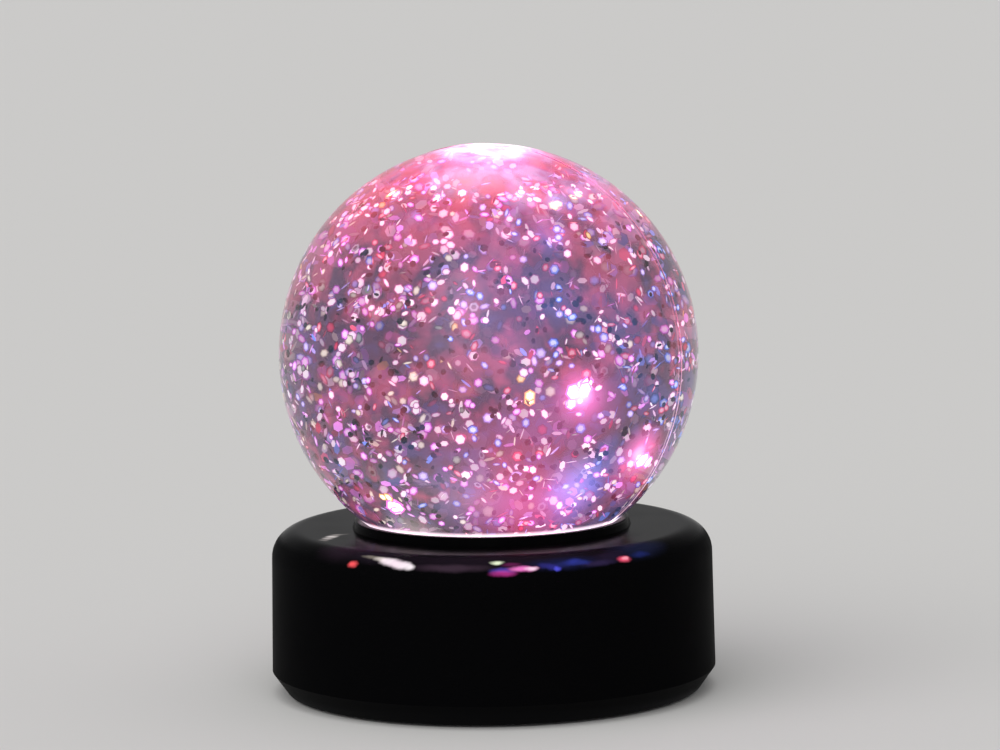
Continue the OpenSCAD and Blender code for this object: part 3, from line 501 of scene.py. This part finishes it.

# flakes: thin hexagons of film adrift in the liquid, each painted as a glint of the lamps' light: a glowing
# middle that fades to a coloured rim
flakeSet = {
    "count": 4480, "tries": 4, "seed": 41, "outward": 0.2, "highest": 145.0,
    "wallGap": 1.8, "floorGap": 3.0, "stirGap": 2.5,
    "clump": 15.0, "clumpDepth": 0.85, "clumpWaves": 8, "clumpSwell": 2.0,
    "width": (1.7, 3.4), "thick": 0.12, "rings": (1.0, 0.8, 0.52), "lifts": (1.0, 1.2, 1.3), "sharp": 20.0,
    "facing": 0.9, "sway": 0.75, "gleamSway": 0.2, "leanSpan": 30.0,
    # share, glow colours of middle, ring and rim (painted light), light, size, lean to the right, lean to the
    # top
    "fields": ("share", "middle", "ring", "rim", "light", "size", "right", "top"),
    "films": {
        "white": (0.15, "#ffffff", "#fff4fc", "#94487c", 1.15, 1.0, 0.1, 0.0),
        "pearl": (0.16, "#fff4fc", "#fcd6f4", "#90507c", 1.2, 1.0, 0.0, 0.2),
        "magenta": (0.16, "#ffdcfc", "#f49cf8", "#943498", 1.2, 1.0, -0.3, -0.1),
        "coral": (0.09, "#ffc4d4", "#f05c84", "#90283e", 1.0, 1.0, 0.4, 0.2),
        "crimson": (0.05, "#e84868", "#c83054", "#60162c", 0.85, 1.0, 0.4, 0.1),
        "blue": (0.10, "#dce8ff", "#7c9cfc", "#303e90", 1.1, 1.0, 0.6, 0.1),
        "slate": (0.04, "#7c8cd8", "#5c68aa", "#2e3356", 0.8, 1.1, 0.8, 0.0),
        "lilac": (0.08, "#f0e0ff", "#c4a8f4", "#60508c", 1.1, 1.0, -0.2, 0.1),
        "cream": (0.06, "#fffbe8", "#e6dac8", "#786c6a", 1.0, 1.0, -0.5, -0.4),
        "sage": (0.03, "#b6beb4", "#8e968e", "#3e403e", 0.8, 1.0, -0.5, -0.2),
        "gold": (0.008, "#fff2b0", "#f0b860", "#704630", 1.0, 0.9, 0.2, 0.1),
        "eyelet": (0.015, "#080810", "#b4acbc", "#8c7c94", 0.8, 0.95, 0.1, 0.0),
        # painted shade: flakes that stand for ones turned away from the lamps
        "dark": (0.43, "#04050e", "#080a18", "#0e0e22", 0.1, 0.7, 0.1, -0.1),
        # the last two films: painted glints, far brighter than the rest
        "gleam": (0.0, "#ffffff", "#b89ab0", "#8c3c78", 5.0, 1.8, 0.0, 0.0),
        "warmGleam": (0.0, "#fff4d4", "#a08a58", "#7c5038", 5.0, 1.3, 0.0, 0.0),
    },
    # painted glints: flakes that catch a lamp together, in groups: place, how many, spread, film
    "gleams": [
        ((25, -48, 91), 6, 1.9, "gleam"), ((41, -24, 71.5), 4, 1.5, "gleam"),
        ((10, -53, 91.5), 2, 0.6, "warmGleam"), ((23.5, -19.5, 141.3), 2, 0.7, "warmGleam"),
        ((18, -27.5, 139.8), 2, 0.7, "warmGleam"), ((42.5, -4, 135.5), 2, 0.9, "warmGleam"),
        ((-28, -33, 59), 3, 2.2, "gleam"), ((-29, -34, 59.5), 2, 1.6, "warmGleam"),
        ((-24.5, -16.5, 141.8), 1, 0.6, "warmGleam"), ((-30, 38, 75), 4, 1.6, "gleam"),
        ((20, 46, 112), 3, 1.4, "gleam"), ((-50, 4, 88), 3, 1.2, "warmGleam"),
        ((48, 20, 100), 3, 1.4, "gleam"), ((14, -30, 146), 5, 3.0, "white"),
        ((27, -21, 144), 5, 3.0, "white"), ((-25, -23, 144), 4, 3.0, "pearl"),
        ((-8, -31, 146), 4, 3.0, "white"),
    ],
}
filmNames = list(flakeSet["films"])
films = [dict(zip(flakeSet["fields"], row)) for row in flakeSet["films"].values()]
flakeReach = ball["radius"] - ball["wall"] - flakeSet["wallGap"]
flakeFloor = ball["baseTop"] + flakeSet["floorGap"]


# places through the sphere, crowded towards its wall: radius times an even draw to a small power; those in
# the stirrer's space are dropped; clumps thin them out: a place stays if an even draw is under 1 less the
# depth times a sum of waves of the clump's length; the gleams' flakes follow, each at its gleam's place plus
# a normal draw times the spread, drawn in to the wall
def flakePlaces(random):
    n = flakeSet["count"] * flakeSet["tries"]
    way = unit(random.normal(size=(n, 3)))
    spot = way * flakeReach * random.random((n, 1)) ** flakeSet["outward"] + ballCentre
    free = (spot[:, 2] > flakeFloor) & (spot[:, 2] < flakeSet["highest"])
    overStirrer = spot[:, 2] > ball["stirTop"] + flakeSet["stirGap"]
    free &= overStirrer | (np.hypot(spot[:, 0], spot[:, 1]) > ball["stirRadius"] + flakeSet["stirGap"])
    waves = random.normal(size=(3, flakeSet["clumpWaves"])) * 2 * np.pi / flakeSet["clump"] / math.sqrt(3)
    starts = random.uniform(0, 2 * np.pi, flakeSet["clumpWaves"])
    swell = np.cos(spot @ waves + starts).mean(1) * flakeSet["clumpSwell"]
    free &= random.random(n) < 1 - flakeSet["clumpDepth"] * np.clip(0.5 + swell, 0, 1)
    spot = spot[free][:flakeSet["count"]]
    places, counts, spreads, names = zip(*flakeSet["gleams"])
    middles = np.repeat(np.array(places, float), counts, axis=0)
    drawn = random.normal(size=middles.shape) * np.repeat(spreads, counts)[:, None]
    fromCentre = middles + drawn - ballCentre
    fromCentre *= np.minimum(1.0, flakeReach / np.linalg.norm(fromCentre, axis=1, keepdims=True))
    forced = np.repeat([filmNames.index(name) for name in names], counts)
    return np.concatenate([spot, ballCentre + fromCentre]), forced


# a film for each flake: its share times e to the lean times its place, from an even draw on the running sum
def flakeFilms(random, spot):
    share, right, top = np.array([[film[key] for film in films] for key in ("share", "right", "top")])
    pull = (spot[:, :1] * right + (spot[:, 2:] - ball["centre"]) * top) / flakeSet["leanSpan"]
    chance = np.cumsum(share * np.exp(pull), axis=1)
    return (random.random((len(spot), 1)) * chance[:, -1:] > chance).sum(1)


# a flake is three hexagon rings on its face and one behind: ring point k is (w cos 60k, w sin 60k), turned so
# that its face leans to the wall; each face has the film's middle, ring or rim colour, which is painted glow
def flakeMesh():
    random = np.random.default_rng(flakeSet["seed"])
    spot, forced = flakePlaces(random)
    kind = np.concatenate([flakeFilms(random, spot[:-len(forced)]), forced])
    n = len(spot)
    outward = unit(spot - ballCentre)
    # the dark ones, painted shade for flakes turned from the lamps, ride at the wall, where no lit dust lies
    # in front of them
    atWall = ballCentre + outward * flakeReach
    moved = (kind == filmNames.index("dark")) & (atWall[:, 2] > flakeFloor)
    spot = np.where(moved[:, None], atWall, spot)
    size = np.array([film["size"] for film in films])
    half = random.uniform(*flakeSet["width"], n) * size[kind] / 2
    sides = 6  # each cap below is two quads, which suits six corners only
    corner = 2 * np.pi / sides * np.arange(sides)
    ring = np.stack([np.cos(corner), np.sin(corner), 0 * corner], -1)
    rings = np.array([*flakeSet["rings"], flakeSet["rings"][0]])[:, None, None]
    lifts = flakeSet["thick"] / 2 * np.array([*flakeSet["lifts"], -1.0])[:, None, None]
    shape = half[:, None, None, None] * rings * ring + lifts * np.array([0, 0, 1.0])
    sway = np.where(np.arange(n) < n - len(forced), flakeSet["sway"], flakeSet["gleamSway"])
    face = unit(outward * flakeSet["facing"] + random.normal(size=(n, 3)) * sway[:, None])
    along = unit(np.cross(face, random.normal(size=(n, 3))))
    turn = np.stack([along, np.cross(face, along), face], -1)
    points = np.einsum("nab,nrkb->nrka", turn, shape) + spot[:, None, None, :]
    k = np.arange(sides)
    m = (k + 1) % sides
    back = 3 * sides
    band = np.stack([k, m, m + sides, k + sides], -1)
    cap = np.array([[0, 1, 2, 3], [0, 3, 4, 5]])
    edge = np.stack([k, k + back, m + back, m], -1)
    one = np.concatenate([band, band + sides, cap + 2 * sides, cap[:, ::-1] + back, edge])
    faces = one + 4 * sides * np.arange(n)[:, None, None]
    # 0 middle, 1 ring, 2 rim, for the outer band, inner band, front cap, back cap and edge
    zone = np.repeat([2, 1, 0, 1, 2], [sides, sides, len(cap), len(cap), sides])
    picks = 3 * kind[:, None] + zone
    return points.reshape(-1, 3), faces.reshape(-1, 4), picks.reshape(-1)


# metallised polyester film: mirror-bright foil lit from below; each flake's spark with a coloured edge is
# painted light, a glow set on the film
def filmMaterials():
    made = []
    for name, film in zip(filmNames, films):
        for part in ("middle", "ring", "rim"):
            made.append(startMaterial("metallised film " + name + " " + part, {
                "Base Color": hexColour(film["rim"]), "Metallic": 0.2, "Roughness": 0.4,
                "Emission Color": hexColour(film[part]), "Emission Strength": film["light"]})[0])
    return made


points, faces, picks = flakeMesh()
foils = filmMaterials()
makePiece("glitter_flakes", points, faces, foils, flakeSet["sharp"], "glitter", picks)

# the housing's finish, with the lamp's light painted on its shoulder as glints, lengths and heights in mm
satin = {
    # the grain is drawn coarser than the real one, so that it shows
    "tones": [(0.3, "#050506"), (0.7, "#080809")], "grain": 0.3846, "grainDepth": 0.05,
    # roughness of side and top, the heights that it changes between, and handling smears
    "polish": (44.0, 46.5), "rough": (0.48, 0.15),
    "smear": 11.11, "smearSpan": (0.45, 0.75), "smearRough": 0.06,
    # the rounding from side to top that the painted streaks of light lie on: its middle circle, its own
    # radius and the rim's; then how ragged and how soft their edges are
    "round": 55.31, "roundRadius": 7.9, "rim": 62.0, "ragged": 3.333, "raggedBy": (0.05, 0.12), "soft": 0.15,
    # streaks, painted glints and reflections of the lamp's light: turn from the front and rise round the
    # shoulder in degrees, half length, half height, colour
    "glints": [
        # broad faint hazes, a painted reflection of the lit ball
        (0.0, 60.0, 56.0, 4.2, "#181019"), (-46.0, 74.0, 13.0, 6.5, "#20151f"),
        (-34.0, 66.0, 11.0, 4.0, "#1d1520"), (19.0, 47.0, 15.0, 3.0, "#17193c"),
        (44.0, 66.0, 15.0, 5.5, "#141830"), (33.0, 52.0, 9.0, 2.6, "#1d1428"),
        # left: a red spark, a white streak that comes down to the front, and a grey one on the top
        (-38.9, 38.6, 2.5, 1.4, "#ff5a60"), (-34.5, 61.0, 4.2, 1.1, "#787068"),
        (-31.6, 58.5, 3.0, 1.3, "#c8beb8"), (-29.6, 55.5, 3.1, 1.8, "#ffeef4"),
        (-27.6, 52.0, 3.3, 2.1, "#ffeef8"), (-25.6, 48.5, 3.3, 2.1, "#ffe8f6"),
        (-23.8, 45.0, 3.1, 1.9, "#ffeef8"), (-22.0, 41.5, 2.5, 1.4, "#fff4fa"),
        (-63.6, 107.0, 3.0, 1.5, "#6c6664"), (-66.2, 119.0, 3.0, 1.5, "#a49c9a"),
        (-69.0, 129.5, 3.0, 1.5, "#c8c0be"), (-71.8, 138.0, 3.0, 1.5, "#7c7674"),
        # middle: pale green, pink and violet
        (-10.5, 42.0, 15.0, 1.8, "#392a37"), (1.1, 55.5, 2.6, 1.1, "#f0fad8"),
        (5.0, 49.5, 3.8, 1.0, "#5c1c48"), (7.8, 38.5, 5.6, 1.3, "#f078c8"),
        (10.0, 38.2, 2.6, 1.0, "#ffd8f0"), (2.6, 35.0, 5.2, 1.5, "#5040a0"),
        (2.9, 29.5, 5.4, 1.3, "#a83080"),
        # right: blue, and a red spark
        (14.0, 43.5, 3.4, 1.4, "#282668"), (15.8, 39.0, 3.6, 1.3, "#2c2a7c"),
        (17.0, 35.0, 1.4, 1.0, "#5050d8"), (18.8, 44.0, 3.4, 1.2, "#20245c"),
        (21.6, 48.0, 4.0, 1.6, "#2a3288"), (23.8, 45.0, 3.6, 1.3, "#262e78"),
        (28.5, 40.0, 7.5, 1.4, "#2a2040"), (36.5, 42.0, 3.3, 1.4, "#ee5474"),
        (37.2, 43.5, 1.8, 0.8, "#ff9cb0"), (42.5, 47.0, 4.6, 1.6, "#1a2258"),
    ],
}


# the lamp's light painted on the shoulder as glints and reflections, unrolled: along by the turn from the
# front, across by the angle round the rounding; each streak is an ellipse on that sheet, and the lightest one
# shows
def shoulderLight(tree, place):
    parts = addNode(tree, "SeparateXYZ", None, {0: place})
    flat = addNode(tree, "VectorMath", {"operation": "MULTIPLY", 1: (1, 1, 0)}, {0: place})
    reach = addNode(tree, "VectorMath", {"operation": "LENGTH"}, {0: flat}).outputs["Value"]
    past = addNode(tree, "Math", {"operation": "SUBTRACT", 1: satin["round"] * mm}, {0: reach})
    roundHeight = (ball["baseTop"] - satin["roundRadius"]) * mm
    above = addNode(tree, "Math", {"operation": "SUBTRACT", 1: roundHeight}, {0: parts.outputs[2]})
    across = addNode(tree, "Math", {"operation": "ARCTAN2"}, {0: above, 1: past})
    front = addNode(tree, "Math", {"operation": "MULTIPLY", 1: -1.0}, {0: parts.outputs[1]})
    around = addNode(tree, "Math", {"operation": "ARCTAN2"}, {0: parts.outputs[0], 1: front})
    sheet = addNode(tree, "CombineXYZ", None, {0: around, 1: across})
    ragged = addNode(tree, "TexNoise", {"Scale": 1000 / satin["ragged"], "Detail": 2.0}, {0: place})
    wide, tall = satin["raggedBy"]
    stir = addNode(tree, "VectorMath", {
        "operation": "MULTIPLY_ADD", 1: (wide, tall, 0), 2: (-wide / 2, -tall / 2, 0)},
        {0: ragged.outputs["Color"]})
    bent = addNode(tree, "VectorMath", {"operation": "ADD"}, {0: sheet, 1: stir})
    light = None
    for turn, rise, long, high, code in satin["glints"]:
        stretch = (satin["rim"] / long, satin["roundRadius"] / high, 0)
        shift = (-math.radians(turn) * stretch[0], -math.radians(rise) * stretch[1], 0)
        off = addNode(tree, "VectorMath", {"operation": "MULTIPLY_ADD", 1: stretch, 2: shift}, {0: bent})
        away = addNode(tree, "VectorMath", {"operation": "LENGTH"}, {0: off}).outputs["Value"]
        near = addNode(tree, "MapRange", {**smooth, 1: 1.0, 2: satin["soft"]}, {0: away})
        links = {0: near, 6: light} if light else {0: near}  # the first lies on black
        patch = addNode(tree, "Mix", {
            **colourMix, "blend_type": "LIGHTEN", 6: black, 7: hexColour(code)}, links)
        light = patch.outputs[2]
    return light


# satin ABS: moulded black plastic with a spark-eroded grain, dull on the side, with a little polish on the
# top and smears from handling, and the lamp's light painted on the shoulder as glints
def satinAbs():
    material, tree, skin, place = startMaterial("satin black moulded ABS", {
        "IOR": 1.45, "Specular IOR Level": 0.006, "Emission Strength": 1.0})
    height = addNode(tree, "SeparateXYZ", None, {0: place}).outputs[2]
    low, high = metres(satin["polish"])
    dull, polished = satin["rough"]
    polish = addNode(tree, "MapRange", {**smooth, 1: low, 2: high, 3: dull, 4: polished}, {0: height})
    smear = addNode(tree, "TexNoise", {"Scale": 1000 / satin["smear"], "Detail": 4.0}, {0: place})
    low, high = satin["smearSpan"]
    wearAndUnderLight = addNode(tree, "MapRange", {1: low, 2: high, 4: satin["smearRough"]}, {0: smear})
    rough = addNode(tree, "Math", {"operation": "ADD"}, {0: polish, 1: wearAndUnderLight})
    grain = addNode(tree, "TexNoise", {"Scale": 1000 / satin["grain"], "Detail": 2.0}, {0: place})
    tone = addNode(tree, "ValToRGB", None, {0: grain})
    setStops(tone, satin["tones"])
    depth = satin["grainDepth"] * mm
    relief = addNode(tree, "Bump", {"Strength": 0.05, "Distance": depth}, {"Height": grain})
    light = shoulderLight(tree, place)
    linkTo(tree, skin, {"Emission Color": light, "Base Color": tone, "Roughness": rough, "Normal": relief})
    return material


# a mottled finish for the plainer moulded and metal pieces: two close tones in a noise of the size grainMm,
# coarser than a real grain that is too fine to show, roughness from the same noise, a little relief
mottleSet = {"span": (0.3, 0.7), "depth": 0.1}  # values of the noise that the tones stand at, relief in mm


def mottled(name, dark, light, grainMm, rough, values, relief=0.04):
    material, tree, skin, place = startMaterial(name, values)
    grain = addNode(tree, "TexNoise", {"Scale": 1000 / grainMm, "Detail": 3.0}, {0: place})
    low, high = mottleSet["span"]
    tone = addNode(tree, "ValToRGB", None, {0: grain})
    setStops(tone, [(low, dark), (high, light)])
    gloss = addNode(tree, "MapRange", {1: low, 2: high, 3: rough[0], 4: rough[1]}, {0: grain})
    bump = addNode(tree, "Bump", {"Strength": relief, "Distance": mottleSet["depth"] * mm}, {"Height": grain})
    linkTo(tree, skin, {"Base Color": tone, "Roughness": gloss, "Normal": bump})
    return material


# shader values: bare metal, then sleeving and rubber, then ABS; the levels are low so that the pale studio
# doesn't grey the black
metal = {"Metallic": 1.0}
plastic = {"IOR": 1.46, "Specular IOR Level": 0.07}
glossAbs = {"IOR": 1.46, "Specular IOR Level": 0.008}
mattAbs = {"IOR": 1.46, "Specular IOR Level": 0.02}
thumbedAbs = {"IOR": 1.46, "Specular IOR Level": 0.3}
finishes = {
    "black_satin_plastic": satinAbs(),
    # gloss ABS: polished tool, so a dark even skin with faint swirls
    "black_gloss_plastic": mottled("gloss black ABS", "#050506", "#080809", 6.0, (0.16, 0.24), glossAbs, 0.0),
    # matt ABS: spark-eroded tool, so a fine even grain that kills the shine
    "black_matte_plastic": mottled("matt black ABS", "#070708", "#0b0b0c", 0.5, (0.5, 0.62), mattAbs, 0.12),
    # nitrile rubber: dull and slightly grey
    "black_rubber": mottled("nitrile rubber", "#262626", "#2e2e2e", 0.6, (0.75, 0.88), plastic, 0.1),
    # acetal: moulded, white and waxy, a soft shine
    "white_plastic": mottled("white acetal", "#dcdcda", "#e6e6e4", 1.2, (0.34, 0.44), {"IOR": 1.48}, 0.03),
    # zinc-plated steel: bright, bluish, faint spangle
    "bright_steel": mottled("zinc-plated steel", "#a9adb2", "#bfc2c6", 0.5, (0.24, 0.36), metal),
    # nickel plate: warm white metal
    "nickel": mottled("nickel plate", "#b7b2a8", "#c8c3b9", 0.6, (0.18, 0.3), metal),
    # brass strip: rolled, a warm yellow metal
    "brass": mottled("brass strip", "#b08d4a", "#c3a058", 0.6, (0.22, 0.34), metal),
    # glass-epoxy board under green solder mask: its weave just shows
    "green_laminate": mottled(
        "solder-masked glass epoxy", "#0c3a20", "#124a2a", 0.8, (0.28, 0.4), {"IOR": 1.5}, 0.05),
    # PVC sleeving: extruded, smooth, a soft shine
    "red_wire": mottled("red PVC sleeving", "#8a0f12", "#9c1518", 0.7, (0.35, 0.45), plastic),
    "black_wire": mottled("black PVC sleeving", "#0c0c0c", "#141414", 0.7, (0.35, 0.45), plastic),
}

# lamp epoxy: a cloudy lens that glows in its own colour
lampSet = {"red": ("#b3202a", "#ff5a5a"), "green": ("#1f9a45", "#5cf08a"), "blue": ("#2440c0", "#6a86ff")}
for colour, (dark, light) in lampSet.items():
    finishes[colour + "_lamp"] = mottled("lamp epoxy " + colour, dark, light, 1.5, (0.2, 0.3), {
        "IOR": 1.5, "Emission Color": hexColour(light), "Emission Strength": 1.5}, 0.0)


# the nodes, the shader and the colour of a mottled finish, so that a second tone can go over it
def openFinish(material):
    tree = material.node_tree
    skin = tree.nodes["Principled BSDF"]
    return tree, skin, skin.inputs["Base Color"].links[0].from_socket


# matt ABS underneath: painted light, the faces that look down are a little paler
paintedUnderLight = {"colour": "#1d1d1e", "facing": (-0.85, -0.97)}


def lightenUnderside(material):
    tree, skin, tone = openFinish(material)
    normal = addNode(tree, "TexCoord").outputs["Normal"]
    facing = addNode(tree, "SeparateXYZ", None, {0: normal})
    low, high = paintedUnderLight["facing"]
    down = addNode(tree, "MapRange", {1: low, 2: high}, {0: facing.outputs[2]})
    wearAndUnderLight = addNode(tree, "Mix", {**colourMix, 7: hexColour(paintedUnderLight["colour"])}, {0: down, 6: tone})
    linkTo(tree, skin, {"Base Color": wearAndUnderLight.outputs[2]})


lightenUnderside(finishes["black_matte_plastic"])

# slide switch: zinc-plated steel, with the black phenolic slider showing in its open face behind the knob
switchLow, switchHigh = boxMm("switch_frame")
slider = {
    "halfWidth": 6.0, "halfHeight": 3.0, "height": (switchLow[2] + switchHigh[2]) / 2, "colour": "#0b0b0c",
}


# the slider is where both |x| / half width and |z - height| / half height are under 1
def switchSteel():
    material = mottled("zinc-plated switch steel", "#a9adb2", "#bfc2c6", 0.5, (0.24, 0.36), metal)
    tree, skin, plating = openFinish(material)
    place = addNode(tree, "TexCoord").outputs["Object"]
    stretch = (1000 / slider["halfWidth"], 0, 1000 / slider["halfHeight"])
    shift = (0, 0, -slider["height"] / slider["halfHeight"])
    spot = addNode(tree, "VectorMath", {"operation": "MULTIPLY_ADD", 1: stretch, 2: shift}, {0: place})
    size = addNode(tree, "VectorMath", {"operation": "ABSOLUTE"}, {0: spot})
    off = addNode(tree, "SeparateXYZ", None, {0: size})
    far = addNode(tree, "Math", {"operation": "MAXIMUM"}, {0: off.outputs[0], 1: off.outputs[2]})
    steelShare = addNode(tree, "Math", {"operation": "GREATER_THAN", 1: 1.0}, {0: far})
    face = addNode(tree, "Mix", {**colourMix, 6: hexColour(slider["colour"])}, {0: steelShare, 7: plating})
    linkTo(tree, skin, {"Base Color": face.outputs[2], "Metallic": steelShare})
    return material


# switch knob: ABS that thumbs have worn to a slight shine
wornKnob = mottled("thumbed black ABS", "#161617", "#202021", 0.7, (0.3, 0.42), thumbedAbs, 0.06)
special = {"switch_frame": switchSteel(), "switch_knob": wornKnob}

# cells in three rows, from their packed box: height of their axes, step between rows, in mm
cellLow, cellHigh = boxMm("cells")
cellHeight = (cellLow[2] + cellHigh[2]) / 2
cellStep = ((cellHigh[1] - cellLow[1]) - (cellHigh[2] - cellLow[2])) / 2
sleeveSet = {
    "tones": [(0.0, "#1d2b30"), (0.62, "#c07a3c"), (0.965, "#b9bcc0")], "span": (-30.0, 30.0),
    "scuff": 1.429, "scuffSpan": (0.3, 0.7), "rough": (0.24, 0.4),
}


# printed cell sleeve: dark film over steel with one coppery end and bare bright tips; the middle row lies the
# other way round
def printedSleeve():
    material, tree, skin, place = startMaterial("printed cell sleeve", {"Metallic": 0.8})
    parts = addNode(tree, "SeparateXYZ", None, {0: place})
    row = addNode(tree, "Math", {"operation": "ABSOLUTE"}, {0: parts.outputs[1]})
    outerRow = addNode(tree, "Math", {"operation": "GREATER_THAN", 1: cellStep / 2 * mm}, {0: row})
    sign = addNode(tree, "MapRange", {3: -1.0, 4: 1.0}, {0: outerRow})
    along = addNode(tree, "Math", {"operation": "MULTIPLY"}, {0: parts.outputs[0], 1: sign})
    low, high = metres(sleeveSet["span"])
    band = addNode(tree, "MapRange", {1: low, 2: high}, {0: along})
    tone = addNode(tree, "ValToRGB", None, {0: band})
    setStops(tone, sleeveSet["tones"], "CONSTANT")
    scuff = addNode(tree, "TexNoise", {"Scale": 1000 / sleeveSet["scuff"], "Detail": 3.0}, {0: place})
    low, high = sleeveSet["scuffSpan"]
    glossy, dull = sleeveSet["rough"]
    rough = addNode(tree, "MapRange", {1: low, 2: high, 3: glossy, 4: dull}, {0: scuff})
    linkTo(tree, skin, {"Base Color": tone, "Roughness": rough})
    return material


# clear plug polystyrene: the globe's plastic under the liquid, moulded with a slight frost, without the glow
plugSet = {"colour": "#f6f3f8", "frost": 3.333, "frostSpan": (0.4, 0.7), "rough": (0.04, 0.16)}


def clearPlug():
    material, tree, skin, place = startMaterial("clear plug polystyrene", {
        "Base Color": hexColour(plugSet["colour"]), "Transmission Weight": 1.0, "IOR": 1.2})
    frost = addNode(tree, "TexNoise", {"Scale": 1000 / plugSet["frost"], "Detail": 2.0}, {0: place})
    low, high = plugSet["frostSpan"]
    glossy, dull = plugSet["rough"]
    rough = addNode(tree, "MapRange", {1: low, 2: high, 3: glossy, 4: dull}, {0: frost})
    linkTo(tree, skin, {"Roughness": rough})
    return material


finishes["cell_case"] = printedSleeve()
finishes["clear_plastic"] = clearPlug()

# contact springs: conical coils between the contact plates and the cells
springSet = {
    "wide": 4.6, "narrow": 3.0, "run": 4.6, "wire": 0.35, "turns": 4, "steps": 28, "sides": 10, "sharp": 60.0,
    "ends": ((-1, -1), (0, 1), (1, -1)),  # row of the cell, end of the box
}


# a coil is a tube along (run t, r cos a, r sin a), with r from wide to narrow and a through all turns as t
# goes from 0 to 1; at the other end of the box it is turned half round
def springCoils():
    t = np.linspace(0, 1, springSet["turns"] * springSet["steps"] + 1)
    radius = springSet["wide"] + (springSet["narrow"] - springSet["wide"]) * t
    a = 2 * np.pi * springSet["turns"] * t
    coil = np.stack([springSet["run"] * t, radius * np.cos(a), radius * np.sin(a)], -1)
    foot = boxMm("contact_springs")[1][0] - springSet["wire"]
    parts = []
    for row, end in springSet["ends"]:
        line = coil * (-end, -end, 1) + (end * foot, row * cellStep, cellHeight)
        parts.append(tubeAlong(line, springSet["wire"], springSet["sides"]))
    return joined(parts)


points, faces = springCoils()
plated = [finishes["nickel"]]
makePiece("contact_coils", points, faces, plated, springSet["sharp"], "contact_springs")

# hook-up wires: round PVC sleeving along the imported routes, corners eased
wireSet = {
    "radius": 0.7, "sides": 14, "bend": 3.0, "steps": 9, "leastStep": 1e-6, "sharp": 50.0,
    "red": [
        [(22.0, 0, 36.75), (22.0, 0, 21.5), (7.35, 0, 21.5)],
        [(32.25, 15.2, 13.7), (36.25, 15.2, 13.7), (36.25, 15.2, 22.0), (4.75, 44.05, 22.0),
         (4.75, 52.05, 22.0)],
        [(-4.75, 52.05, 22.0), (-4.75, 44.05, 22.0), (-11.0, 23.053, 28.8), (-11.0, 19.053, 30.8),
         (-11.0, 19.053, 36.75)],
    ],
    "black": [
        [(-22.0, 0, 36.75), (-22.0, 0, 21.5), (-7.35, 0, 21.5)],
        [(-32.25, -15.2, 13.7), (-36.25, -15.2, 13.7), (-36.25, -15.2, 22.0), (-15.0, -19.053, 28.8),
         (-11.0, -19.053, 30.8), (-11.0, -19.053, 36.75)],
    ],
}


# a route with each inner corner b cut by the curve (1-k)(1-k) a + 2k(1-k) b + k k c between points a and c
# on its two legs, at most half way along them
def easedRoute(route):
    route = np.asarray(route, float)
    k = np.linspace(0, 1, wireSet["steps"])[:, None]
    runs = [route[:1]]
    for before, corner, after in zip(route[:-2], route[1:-1], route[2:]):
        a = corner + (before - corner) * min(0.5, wireSet["bend"] / np.linalg.norm(before - corner))
        c = corner + (after - corner) * min(0.5, wireSet["bend"] / np.linalg.norm(after - corner))
        runs.append((1 - k) ** 2 * a + 2 * k * (1 - k) * corner + k ** 2 * c)
    line = np.concatenate(runs + [route[-1:]])
    step = np.linalg.norm(np.diff(line, axis=0), axis=1)
    return line[np.concatenate([[True], step > wireSet["leastStep"]])]


for colour in ("red", "black"):
    tubes = [tubeAlong(easedRoute(route), wireSet["radius"], wireSet["sides"]) for route in wireSet[colour]]
    points, faces = joined(tubes)
    slot = colour + "_wire"
    makePiece("hookup_wire_" + colour, points, faces, [finishes[slot]], wireSet["sharp"], slot + "s")

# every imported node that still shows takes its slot's finish, or one of its own
slotOf = {part["node"]: part["material_slot"] for part in frame["record"]["subparts"]}
shown = {name: node for name, node in nodes.items() if not node.hide_render}
for name, node in shown.items():
    for holder in node.material_slots:
        holder.material = special.get(name) or finishes[slotOf[name]]
print("finishes set on", len(shown), "packed nodes")

bpy.context.scene.view_settings.view_transform = "Standard"
